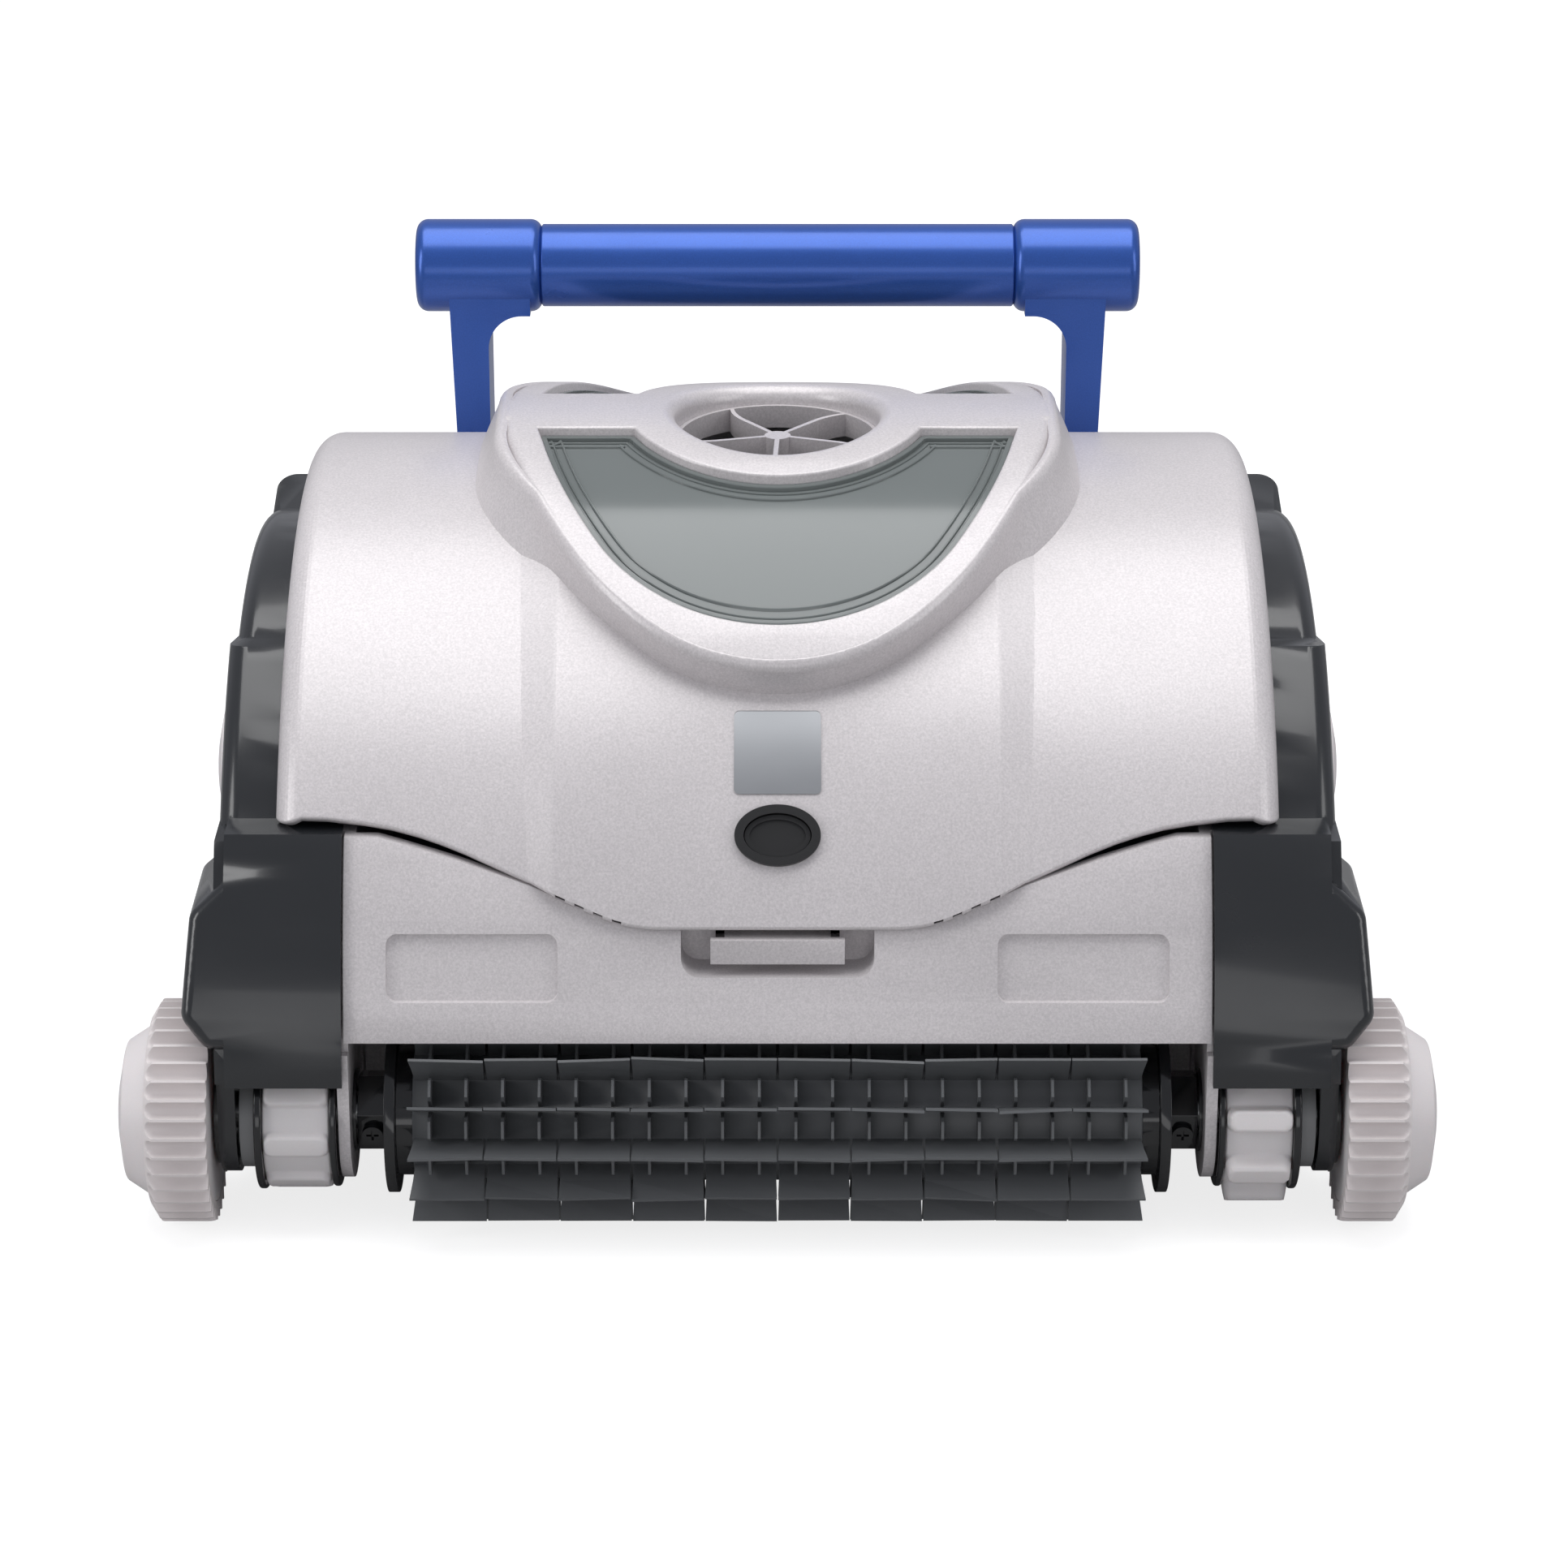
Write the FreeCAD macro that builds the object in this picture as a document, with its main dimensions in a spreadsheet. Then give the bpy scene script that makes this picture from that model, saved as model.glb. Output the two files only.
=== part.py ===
"""Robotic pool cleaner: two driven brush axles under an arched shell with a hinged top cover.

Frame: millimetres, +X to the machine's right, +Y to its rear, +Z up. The origin is on the floor at
the centre of the machine. Both axles lie along X, at +-axle_y, and every arched surface is part of a
cylinder about a line along X at height arch_z.
"""

import FreeCAD, Part
import math
import os
import re

import Sketcher

Vector = FreeCAD.Vector

SIZES = (
    # wheels, axles and brushes
    ("axle_y", 152, "distance of each axle from the middle"),
    ("axle_z", 36.5, "height of the axles"),
    ("tyre_radius", 36.5, "tyre, over the treads"),
    ("rim_radius", 30, "inside of the tyre, outside of the hub"),
    ("tread_depth", 3, "depth of the valleys between the treads"),
    ("tread_cut_radius", 2.6, "round cutter that makes a valley"),
    ("tread_count", 36, "treads round a tyre"),
    ("wheel_inner_x", 183.5, "inner side of the wheels"),
    ("tyre_outer_x", 201, "where the treads end"),
    ("hub_outer_x", 215.4, "outermost point of the hubs"),
    ("shaft_radius", 6, "axle shaft"),
    ("bush_radius", 9.5, "outside of the axle bushes"),
    ("brush_half", 118, "half the length of a brush"),
    ("brush_radius", 37.4, "brush, over the fins"),
    ("brush_base_radius", 23, "sleeve that the fins stand on"),
    ("core_radius", 21.3, "tube inside the brush"),
    ("fin_thickness", 1, "thickness of a brush fin"),
    ("fin_count", 14, "fins round a brush"),
    ("segment_count", 10, "segments along a brush"),
    ("slit_width", 0.8, "slit between brush segments"),
    ("flange_radius", 27, "dished flange at a brush's end"),
    ("flange_end_x", 127, "outer side of that flange"),
    ("coupler_radius", 13.8, "hexagonal coupler, over its corners"),
    ("coupler_end_x", 136.6, "end of the coupler"),
    ("coupler_screw_radius", 1.6, "screws through the couplers"),
    ("spool_start_x", 142.6, "inner end of the bump ring's spool"),
    ("ring_start_x", 144.9, "inner side of a bump ring"),
    ("ring_end_x", 166.6, "outer side of a bump ring"),
    ("ring_bore_radius", 20, "spool under a bump ring"),
    ("ring_sleeve_radius", 23.5, "bump ring between its pads"),
    ("ring_low_radius", 26, "left bump ring, over its low pads"),
    ("ring_high_radius", 29.8, "right bump ring, over its high pads"),
    ("pad_count", 9, "pads round a bump ring"),
    # belt drive
    ("belt_start_x", 169.6, "inner edge of the drive belts"),
    ("belt_end_x", 174.4, "outer edge of the drive belts"),
    ("pulley_radius", 16.8, "axle pulleys"),
    ("drive_pulley_radius", 10, "pulleys of the drive shaft"),
    ("belt_gap", 0.3, "air between a belt and its pulleys"),
    ("belt_thickness", 1.5, "drive belts"),
    ("drive_z", 70, "height of the drive shaft"),
    ("drive_shaft_radius", 5, "drive shaft"),
    # lower housing
    ("arch_z", 31, "height of the line about which the shell curves"),
    ("housing_radius", 179, "outside of the lower housing"),
    ("housing_half", 139.2, "half width of the lower housing"),
    ("housing_wall", 3.5, "wall of the lower housing"),
    ("floor_z", 12, "underside of the tub"),
    ("bay_radius", 41, "brush bays, about the axles"),
    ("leg_inner_x", 138.2, "inner side of the housing's leg plates"),
    ("leg_outer_x", 141.9, "outer side of the housing's leg plates"),
    ("leg_radius", 22, "round ends of the leg plates"),
    ("leg_top_radius", 174, "leg plates where they follow the arch"),
    ("tub_half_y", 119, "half length of the tub's floor"),
    ("split_y", 107, "where the housing's front and rear sub-parts meet its middle"),
    ("recess_start_x", 70.5, "inner edge of the recesses in the front wall"),
    ("recess_end_x", 125.5, "outer edge of the recesses"),
    ("recess_low_z", 83.5, "lower edge of the recesses"),
    ("recess_high_z", 104.2, "upper edge of the recesses"),
    ("recess_depth", 1.8, "depth of the recesses"),
    ("pocket_half", 31, "half width of the latch pocket"),
    ("pocket_low_z", 91.2, "bottom of the latch pocket"),
    ("pocket_back_y", 154, "back wall of the latch pocket"),
    ("floor_opening_x", 105, "half width of the opening in the tub's floor"),
    ("floor_opening_y", 85, "half length of that opening"),
    ("inlet_y", 58, "middle of the suction inlets"),
    ("inlet_half_x", 60, "half length of an inlet"),
    ("inlet_half_y", 12, "half width of an inlet"),
    # side covers
    ("shoulder_radius", 181, "lowest lobe of a side cover"),
    ("shoulder_inner_x", 139.8, "inner edge of that lobe"),
    ("shoulder_outer_x", 177.5, "outer side of that lobe"),
    ("shoulder_low_z", 57, "bottom of that lobe's front wall"),
    ("shoulder_high_z", 133, "top of that lobe"),
    ("middle_radius", 170, "middle lobe of a side cover"),
    ("middle_end_y", 90, "upper end of the middle lobe"),
    ("top_radius", 153, "top lobe of a side cover"),
    ("top_end_y", 66, "end of the top lobe"),
    ("side_inner_x", 155.5, "inner edge of the upper lobes, under the top cover's skirt"),
    ("web_outer_x", 158.5, "outer side of the web that closes the gap inside the skirt"),
    ("web_radius", 173, "top of that web"),
    ("side_outer_x", 181, "outer side of a side cover"),
    ("side_wall", 3, "wall of a side cover"),
    ("side_round", 7, "rounding of a side cover's upper edge"),
    ("cavity_end_x", 175.3, "inner face of a side cover's outer plate"),
    ("side_leg_radius", 20, "round ends of the outer plate, about the axles"),
    ("fender_outer_x", 191.5, "outer side of the fenders over the tyres"),
    ("fender_ridge_round", 6, "rounding along a fender's long ridges"),
    ("fender_rim_round", 4, "rounding round a fender's end"),
    ("fender_bay_radius", 39.6, "underside of the fenders, about the axles"),
    # top cover
    ("cover_radius", 180, "outside of the top cover"),
    ("cover_half", 162, "half width of the top cover"),
    ("cover_wall", 3, "wall of the top cover"),
    ("cover_round", 9, "rounding of the top cover's side edges"),
    ("skirt_radius", 172, "lower edge of the top cover's sides"),
    ("panel_radius", 181.5, "raised panel along the middle of the cover"),
    ("panel_z", 32.5, "height of the line about which the panel curves"),
    ("panel_half", 72, "half width of the raised panel"),
    ("panel_foot", 84, "half width of the panel over its sloping sides"),
    ("seam_low_z", 106.5, "bottom edge of the cover in the middle"),
    ("seam_high_z", 137.8, "bottom edge of the cover at its sides"),
    ("seam_gap", 0.5, "gap between the cover and the housing"),
    # lid frame, windows and outlet
    ("frame_radius", 193, "top of the lid frame"),
    ("mouth_round", 5, "rounding of the outlet's mouth"),
    ("crest_round", 4, "rounding of the lid frame's outer edge"),
    ("window_round", 1, "rounding of the lid frame's window openings"),
    ("frame_z", 36, "height of the line about which the lid frame curves"),
    ("frame_lean", 32, "lean of the lid frame's end walls, in degrees"),
    ("window_sunk", 4.5, "windows below the top of the lid frame"),
    ("window_thickness", 2.4, "windows"),
    ("outlet_radius", 35, "outlet in the lid frame"),
    ("ring_outer_radius", 52, "ring round the outlet"),
    ("vane_top_z", 219, "top of the outlet grille"),
    ("vane_height", 8, "height of the grille's vanes"),
    ("vane_thickness", 1.6, "thickness of the vanes"),
    # badge plate and release button
    ("badge_half", 14, "half width of the badge plate"),
    ("badge_low_z", 144.7, "bottom of the badge plate"),
    ("badge_high_z", 165.7, "top of the badge plate"),
    ("button_y", 151, "release button, forward of the middle"),
    ("button_z", 133, "height of the release button"),
    ("button_tilt", 56, "lean of the button's axis from the vertical, in degrees"),
    ("bezel_long", 13.85, "half the length of the button's bezel"),
    ("bezel_short", 10, "half the width of the bezel"),
    ("button_long", 10.6, "half the length of the button"),
    ("button_short", 6.9, "half the width of the button"),
    ("latch_y", 153, "pivot of the latch tongue, forward of the middle"),
    ("latch_z", 112, "height of that pivot"),
    ("tongue_half", 21.5, "half width of the latch tongue"),
    ("tongue_low_z", 95.2, "bottom of the latch tongue"),
    # handle
    ("grip_y", 90, "handle, behind the middle"),
    ("grip_z", 253.6, "height of the handle's grip"),
    ("grip_radius", 14.65, "grip"),
    ("sleeve_radius", 16.4, "sleeves at the grip's ends"),
    ("sleeve_inner_x", 84, "inner end of the sleeves"),
    ("sleeve_outer_x", 128.6, "outer end of the sleeves"),
    ("arm_inner_x", 103, "inner side of the handle's arms"),
    ("arm_outer_x", 117, "outer side of the arms at the top"),
    ("arm_foot_x", 113.5, "outer side of the arms at the cover"),
    ("arm_half_y", 14, "half the depth of an arm"),
    ("arm_screw_radius", 1.6, "screws through the cover into the arms"),
    # hinge
    ("hinge_y", 178, "cover hinge, behind the middle"),
    ("hinge_z", 102, "height of the cover hinge"),
    ("hinge_radius", 5, "knuckles of the cover hinge"),
    ("base_screw_radius", 1.7, "screws that hold the base plate"),
    ("screw_head_radius", 3.4, "heads of the small screws"),
    ("pin_radius", 2, "hinge pins"),
    # motors and pump
    ("casing_radius", 42, "motor casing"),
    ("casing_top_z", 150, "top of the motor casing"),
    ("duct_inner_radius", 33, "inside of the pump duct"),
    ("duct_low_z", 170, "bottom of the pump duct"),
    ("duct_high_z", 199, "top of the pump duct"),
    ("impeller_radius", 31, "impeller"),
    ("pump_shaft_radius", 4, "pump shaft"),
)

doc = FreeCAD.newDocument("pool_cleaner")
dim = doc.addObject("Spreadsheet::Sheet", "Dim")
for line, (alias, number, meaning) in enumerate(SIZES, start=1):
    dim.set(f"A{line}", meaning)
    dim.set(f"B{line}", str(number))
    dim.setAlias(f"B{line}", alias)
doc.recompute()

ALIASES = {alias for alias, number, meaning in SIZES}
probe = doc.addObject("App::FeaturePython", "Probe")
nodes = []


# ---------------------------------------------------------------- helpers

def formula(text):
    """The expression text with every size's name pointing at the sheet."""
    return re.sub(
        r"[a-z][a-z0-9_]*", lambda word: f"Dim.{word[0]}" if word[0] in ALIASES else word[0], str(text)
    )


def value(text):
    """The number that an expression gives now."""
    return float(probe.evalExpression(formula(text)))


def bind(item, **properties):
    """Bind each property to its expression; px, py and pz are the placement's base."""
    places = {"px": "Placement.Base.x", "py": "Placement.Base.y", "pz": "Placement.Base.z"}
    for name, text in properties.items():
        item.setExpression(places.get(name, name), formula(text))
    return item


def draw(sketch, corners):
    """Draw a closed outline and bind every corner and arc to its expressions.

    A corner is (u, v) or (u, v, bend). The bend is the radius of the arc from this corner to the
    next, positive where the outline turns left and negative where it turns right.
    """
    count = len(corners)
    points = [Vector(value(corner[0]), value(corner[1]), 0) for corner in corners]
    rules = []
    texts = []
    ends = []
    for number, corner in enumerate(corners):
        start = points[number]
        stop = points[(number + 1) % count]
        if len(corner) == 2:
            sketch.addGeometry(Part.LineSegment(start, stop))
            ends.append((1, 2))
            continue
        bend = value(corner[2])
        chord = stop - start
        across = Vector(-chord.y, chord.x, 0).normalize() * math.copysign(1, bend)
        height = math.sqrt(bend * bend - chord.Length ** 2 / 4)
        centre = (start + stop) * 0.5 + across * height
        first = math.atan2(start.y - centre.y, start.x - centre.x)
        last = math.atan2(stop.y - centre.y, stop.x - centre.x)
        if bend < 0:
            first, last = last, first
        ends.append((1, 2) if bend > 0 else (2, 1))
        sketch.addGeometry(Part.ArcOfCircle(Part.Circle(centre, Vector(0, 0, 1), abs(bend)), first, last))
    for number in range(count):
        follower = (number + 1) % count
        rules.append(
            Sketcher.Constraint("Coincident", number, ends[number][1], follower, ends[follower][0])
        )
        texts.append(None)
    for number, corner in enumerate(corners):
        for kind, text, place in (
            ("DistanceX", corner[0], points[number].x), ("DistanceY", corner[1], points[number].y)
        ):
            rules.append(Sketcher.Constraint(kind, -1, 1, number, ends[number][0], place))
            texts.append(text)
        if len(corner) == 3:
            rules.append(Sketcher.Constraint("Radius", number, abs(value(corner[2]))))
            texts.append(f"abs({corner[2]})")
    sketch.addConstraint(rules)
    for number, text in enumerate(texts):
        if text is not None:
            sketch.setExpression(f"Constraints[{number}]", formula(text))
    return sketch


TURNS = {
    "XY": FreeCAD.Rotation(),
    "XZ": FreeCAD.Rotation(Vector(1, 0, 0), 90),
    "YZ": FreeCAD.Rotation(Vector(1, 1, 1), 120),
}


def extruded(name, plane, corners, start, stop, lean=None):
    """A solid between two distances from a plane, with an outline drawn in that plane.

    XY is seen from above and extrudes up, YZ extrudes along X, and XZ extrudes along Y. lean gives
    another direction than the plane's normal.
    """
    sketch = doc.addObject("Sketcher::SketchObject", f"{name}_outline")
    sketch.Placement = FreeCAD.Placement(Vector(), TURNS[plane])
    normal = {"XY": Vector(0, 0, 1), "YZ": Vector(1, 0, 0), "XZ": Vector(0, 1, 0)}[plane]
    base = {"XY": "pz", "YZ": "px", "XZ": "py"}[plane]
    bind(sketch, **{base: start})
    draw(sketch, corners)
    solid = doc.addObject("Part::Extrusion", name)
    solid.Base = sketch
    solid.DirMode = "Custom"
    solid.Dir = lean if lean else normal
    solid.Solid = True
    return bind(solid, LengthFwd=f"({stop}) - ({start})")


def block(name, x, y, z):
    """A box between two expressions each way."""
    solid = doc.addObject("Part::Box", name)
    bind(solid, Length=f"({x[1]}) - ({x[0]})", Width=f"({y[1]}) - ({y[0]})", Height=f"({z[1]}) - ({z[0]})")
    return bind(solid, px=x[0], py=y[0], pz=z[0])


def rod(name, axis, radius, start, stop, u=0, v=0):
    """A cylinder along an axis; u and v are its place on the other two axes, in their order."""
    solid = doc.addObject("Part::Cylinder", name)
    bind(solid, Radius=radius, Height=f"({stop}) - ({start})")
    if axis == "X":
        solid.Placement = FreeCAD.Placement(Vector(), FreeCAD.Rotation(Vector(0, 1, 0), 90))
        return bind(solid, px=start, py=u, pz=v)
    if axis == "Y":
        solid.Placement = FreeCAD.Placement(Vector(), FreeCAD.Rotation(Vector(1, 0, 0), -90))
        return bind(solid, px=u, py=start, pz=v)
    return bind(solid, px=u, py=v, pz=start)


def joined(name, *solids):
    """Several solids made one."""
    whole = doc.addObject("Part::MultiFuse", name)
    whole.Shapes = list(solids)
    return whole


def shared(name, *solids):
    """What several solids have in common."""
    whole = doc.addObject("Part::MultiCommon", name)
    whole.Shapes = list(solids)
    return whole


def minus(name, solid, *tools):
    """A solid less one or more others."""
    left = doc.addObject("Part::Cut", name)
    left.Base = solid
    left.Tool = tools[0] if len(tools) == 1 else joined(f"{name}_tools", *tools)
    return left


def group(name, *solids):
    """Separate solids in one piece list."""
    whole = doc.addObject("Part::Compound", name)
    whole.Links = list(solids)
    return whole


def flipped(name, solid, axis):
    """The mirror image of a solid through the middle plane square to an axis."""
    image = doc.addObject("Part::Mirroring", name)
    image.Source = solid
    image.Normal = {"X": Vector(1, 0, 0), "Y": Vector(0, 1, 0)}[axis]
    return image


def both(name, solid, axis):
    """A solid and its mirror image, as one group."""
    return group(name, solid, flipped(f"{name}_image", solid, axis))


def rounded(name, solid, radius, chosen):
    """Fillet every edge that chosen(edge) picks."""
    return rounded_each(name, solid, lambda edge: radius if chosen(edge) else None)


def rounded_each(name, solid, radius_of):
    """Fillet each edge by the size that radius_of(edge) names; None leaves it sharp."""
    doc.recompute()
    result = doc.addObject("Part::Fillet", name)
    result.Base = solid
    named = [(number, radius_of(edge)) for number, edge in enumerate(solid.Shape.Edges, 1)]
    result.Edges = [(number, value(size), value(size)) for number, size in named if size]
    return result


def along(axis):
    """Picks the straight edges that run along an axis."""
    way = {"X": Vector(1, 0, 0), "Y": Vector(0, 1, 0), "Z": Vector(0, 0, 1)}[axis]

    def chosen(edge):
        run = edge.Vertexes[-1].Point - edge.Vertexes[0].Point
        return edge.Curve.TypeId == "Part::GeomLine" and abs(abs(run.dot(way)) - run.Length) < 1e-6

    return chosen


def two_sided(half):
    """A half outline, listed outwards from u = 0, and its mirror image, left end first."""
    image = []
    for number in range(len(half) - 1, -1, -1):
        bend = half[number - 1][2:] if number else ()
        image.append((f"-({half[number][0]})", half[number][1]) + bend)
    return image + half


def arch(name, radius, half, centre="arch_z"):
    """A full cylinder about the arch's line, from -half to +half."""
    return rod(name, "X", radius, f"-({half})", half, 0, centre)


def axle_body(name, profile):
    """A part turned about the local X axis; the profile is in (x, radius)."""
    body = doc.addObject("PartDesign::Body", name)
    sketch = on_body(body, f"{name}_profile", profile)
    turn = body.newObject("PartDesign::Revolution", f"{name}_turned")
    turn.Profile = sketch
    turn.ReferenceAxis = (sketch, ["H_Axis"])
    turn.Angle = 360
    return body


def on_body(body, name, corners, lift=None, role="XY_Plane"):
    """A sketch on one of a body's own origin planes, lifted off it if asked."""
    sketch = body.newObject("Sketcher::SketchObject", name)
    sketch.AttachmentSupport = (origin(body, role), [""])
    sketch.MapMode = "FlatFace"
    if lift is not None:
        sketch.setExpression("AttachmentOffset.Base.z", formula(lift))
    return draw(sketch, corners)


def origin(body, role):
    """A body's own origin plane or axis."""
    return next(item for item in body.Origin.OriginFeatures if item.Role == role)


def polar(body, name, feature, count):
    """Repeat a feature all round the body's X axis and make it the body's result."""
    pattern = body.newObject("PartDesign::PolarPattern", name)
    pattern.Originals = [feature]
    pattern.Axis = (origin(body, "X_Axis"), [""])
    pattern.Angle = 360
    bind(pattern, Occurrences=count)
    body.Tip = pattern
    return pattern


def on_axle(solid, end, elevation=90):
    """Set a part on the front (-1) or rear (+1) axle, its local Z turned up from the horizontal."""
    turn = FreeCAD.Rotation(Vector(1, 0, 0), 90 - elevation)
    solid.Placement = FreeCAD.Placement(Vector(), turn)
    return bind(solid, py=f"{end} * axle_y", pz="axle_z")


def node(label, solid):
    """Give a finished sub-part its name and list it for writing."""
    solid.Label = label
    nodes.append(solid)
    return solid


ENDS = (("front", -1), ("rear", 1))
SIDES = (("left", -1), ("right", 1))
CORNER_ELEVATION = 17  # degrees above the horizontal at which a coupler's corner stands at rest


# ---------------------------------------------------------------- axle sub-parts

def axle_shaft(end_name, end):
    """Steel shaft through the whole axle, into the blind bore of each hub."""
    node(
        f"{end_name}_axle_shaft",
        rod(f"{end_name}_shaft", "X", "shaft_radius", "-211", "211", f"{end} * axle_y", "axle_z"),
    )


def brush_core(end_name, end):
    """Tube with dished end flanges and a hexagonal coupler at each end."""
    tag = f"{end_name}_core"
    tube = rod(f"{tag}_tube", "X", "core_radius", "-brush_half - 6", "brush_half + 6")
    solids = [tube]
    for side_name, side in SIDES:
        inner = "brush_half + 6 - 0.5" if side > 0 else "-flange_end_x"
        outer = "flange_end_x" if side > 0 else "-brush_half - 6 + 0.5"
        solids.append(rod(f"{tag}_flange_{side_name}", "X", "flange_radius", inner, outer))
        hexagon = doc.addObject("Part::Prism", f"{tag}_hexagon_{side_name}")
        hexagon.Polygon = 6
        turn = FreeCAD.Rotation(Vector(0, 1, 0), 90 * side)
        hexagon.Placement = FreeCAD.Placement(Vector(), turn)
        bind(hexagon, Circumradius="coupler_radius", Height="coupler_end_x - flange_end_x + 1")
        bind(hexagon, px=f"{side} * (flange_end_x - 1)")
        solids.append(hexagon)
    bore = rod(f"{tag}_bore", "X", "shaft_radius", "-coupler_end_x - 1", "coupler_end_x + 1")
    whole = on_axle(minus(tag, joined(f"{tag}_whole", *solids), bore), end, CORNER_ELEVATION)
    middle = "(flange_end_x + coupler_end_x) / 2"
    hole = rod(f"{tag}_screw_hole", "Z", "coupler_screw_radius + 0.1", "0", "coupler_radius", middle)
    holes = on_axle(both(f"{tag}_screw_holes", hole, "X"), end, CORNER_ELEVATION - 30)
    node(f"{end_name}_brush_core", minus(f"{tag}_drilled", whole, holes))


def brush_fins(end_name, end):
    """Soft moulded sleeve with straight fins, slit into segments, pulled over the core."""
    sleeve = [
        ("-brush_half", "core_radius"),
        ("brush_half", "core_radius"),
        ("brush_half", "brush_base_radius"),
        ("-brush_half", "brush_base_radius"),
    ]
    body = axle_body(f"{end_name}_fins", sleeve)
    edge = "fin_thickness / 2"
    base = [
        ("-brush_half", f"-{edge}"), ("brush_half", f"-{edge}"), ("brush_half", edge), ("-brush_half", edge)
    ]
    fin = body.newObject("PartDesign::Pad", f"{end_name}_fin")
    fin.Profile = on_body(body, f"{end_name}_fin_base", base, lift="brush_base_radius - 0.5")
    bind(fin, Length="brush_radius - brush_base_radius + 0.5")
    polar(body, f"{end_name}_fin_ring", fin, "fin_count")
    pitch = "2 * brush_half / segment_count"
    slit = [
        (f"{pitch} - brush_half - slit_width / 2", "brush_base_radius + 1"),
        (f"{pitch} - brush_half + slit_width / 2", "brush_base_radius + 1"),
        (f"{pitch} - brush_half + slit_width / 2", "brush_radius + 2"),
        (f"{pitch} - brush_half - slit_width / 2", "brush_radius + 2"),
    ]
    groove = body.newObject("PartDesign::Groove", f"{end_name}_slit")
    profile = on_body(body, f"{end_name}_slit_profile", slit)
    groove.Profile = profile
    groove.ReferenceAxis = (profile, ["H_Axis"])
    groove.Angle = 360
    slits = body.newObject("PartDesign::LinearPattern", f"{end_name}_slits")
    slits.Originals = [groove]
    slits.Direction = (origin(body, "X_Axis"), [""])
    bind(slits, Length=f"({pitch}) * (segment_count - 2)", Occurrences="segment_count - 1")
    body.Tip = slits
    node(f"{end_name}_brush_fins", on_axle(body, end, 0))


def coupler_screws(end_name, end):
    """Pan-head screw through a flat of each coupler, with a cross recess."""
    tag = f"{end_name}_screw"
    middle = "(flange_end_x + coupler_end_x) / 2"
    flat = "coupler_radius * cos(30)"
    shank = rod(f"{tag}_shank", "Z", "coupler_screw_radius", "shaft_radius + 0.1", f"{flat} + 0.5", middle)
    head = rod(f"{tag}_head", "Z", "screw_head_radius", f"{flat} + 0.05", f"{flat} + 1.65", middle)
    slots = [
        block(
            f"{tag}_slot_a",
            (f"{middle} - 2", f"{middle} + 2"),
            (-0.4, 0.4),
            (f"{flat} + 0.7", f"{flat} + 2"),
        ),
        block(
            f"{tag}_slot_b",
            (f"{middle} - 0.4", f"{middle} + 0.4"),
            (-2, 2),
            (f"{flat} + 0.7", f"{flat} + 2"),
        ),
    ]
    screw = minus(tag, joined(f"{tag}_whole", shank, head), *slots)
    node(f"{end_name}_coupler_screws", on_axle(both(f"{tag}s", screw, "X"), end, CORNER_ELEVATION - 30))


def bump_spools(end_name, end):
    """Flanged spool under each bump ring, in one piece with the belt pulley."""
    profile = [
        ("spool_start_x", "shaft_radius"),
        ("belt_end_x", "shaft_radius"),
        ("belt_end_x", "pulley_radius"),
        ("ring_end_x + 2.6", "pulley_radius"),
        ("ring_end_x + 2.6", "ring_low_radius - 0.2"),
        ("ring_end_x", "ring_low_radius - 0.2"),
        ("ring_end_x", "ring_bore_radius"),
        ("ring_start_x", "ring_bore_radius"),
        ("ring_start_x", "ring_low_radius - 1"),
        ("spool_start_x", "ring_low_radius - 1"),
    ]
    spool = axle_body(f"{end_name}_spool", profile)
    node(f"{end_name}_bump_spools", on_axle(both(f"{end_name}_spools", spool, "X"), end))


def bump_ring(end_name, end, side_name, side):
    """Off-white ring with pads; the two sides differ in pad height and phase."""
    outer = "ring_high_radius" if side > 0 else "ring_low_radius"
    half_pad = "3.25" if side > 0 else "5"
    elevation = 18 if side > 0 else -3
    low = "ring_start_x" if side > 0 else "-ring_end_x"
    high = "ring_end_x" if side > 0 else "-ring_start_x"
    tag = f"{end_name}_ring_{side_name}"
    sleeve = [
        (low, "ring_bore_radius"),
        (high, "ring_bore_radius"),
        (high, "ring_sleeve_radius"),
        (low, "ring_sleeve_radius"),
    ]
    body = axle_body(tag, sleeve)
    trim = "1.6"
    corners = [
        (f"{low} + {trim} + 0.2", f"-{half_pad}"),
        (f"{high} - {trim} - 0.2", f"-{half_pad}"),
        (f"{high} - 0.2", f"-{half_pad} + {trim}"),
        (f"{high} - 0.2", f"{half_pad} - {trim}"),
        (f"{high} - {trim} - 0.2", half_pad),
        (f"{low} + {trim} + 0.2", half_pad),
        (f"{low} + 0.2", f"{half_pad} - {trim}"),
        (f"{low} + 0.2", f"-{half_pad} + {trim}"),
    ]
    pad = body.newObject("PartDesign::Pad", f"{tag}_pad")
    pad.Profile = on_body(body, f"{tag}_pad_base", corners, lift="ring_sleeve_radius - 1.2")
    bind(pad, Length=f"{outer} - ring_sleeve_radius + 1.2")
    polar(body, f"{tag}_pads", pad, "pad_count")
    node(f"{end_name}_bump_ring_{side_name}", on_axle(body, end, elevation))


def wheel_hubs(end_name, end):
    """Solid off-white hubs, coned towards a slightly domed face."""
    profile = [
        ("wheel_inner_x", "shaft_radius"),
        ("211", "shaft_radius"),
        ("211", "0"),
        ("hub_outer_x", "0", "60"),
        ("hub_outer_x - 3.4", "22.6"),
        ("204", "27"),
        ("203.4", "rim_radius"),
        ("wheel_inner_x", "rim_radius"),
    ]
    hub = axle_body(f"{end_name}_hub", profile)
    node(f"{end_name}_wheel_hubs", on_axle(both(f"{end_name}_hubs", hub, "X"), end))


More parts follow.
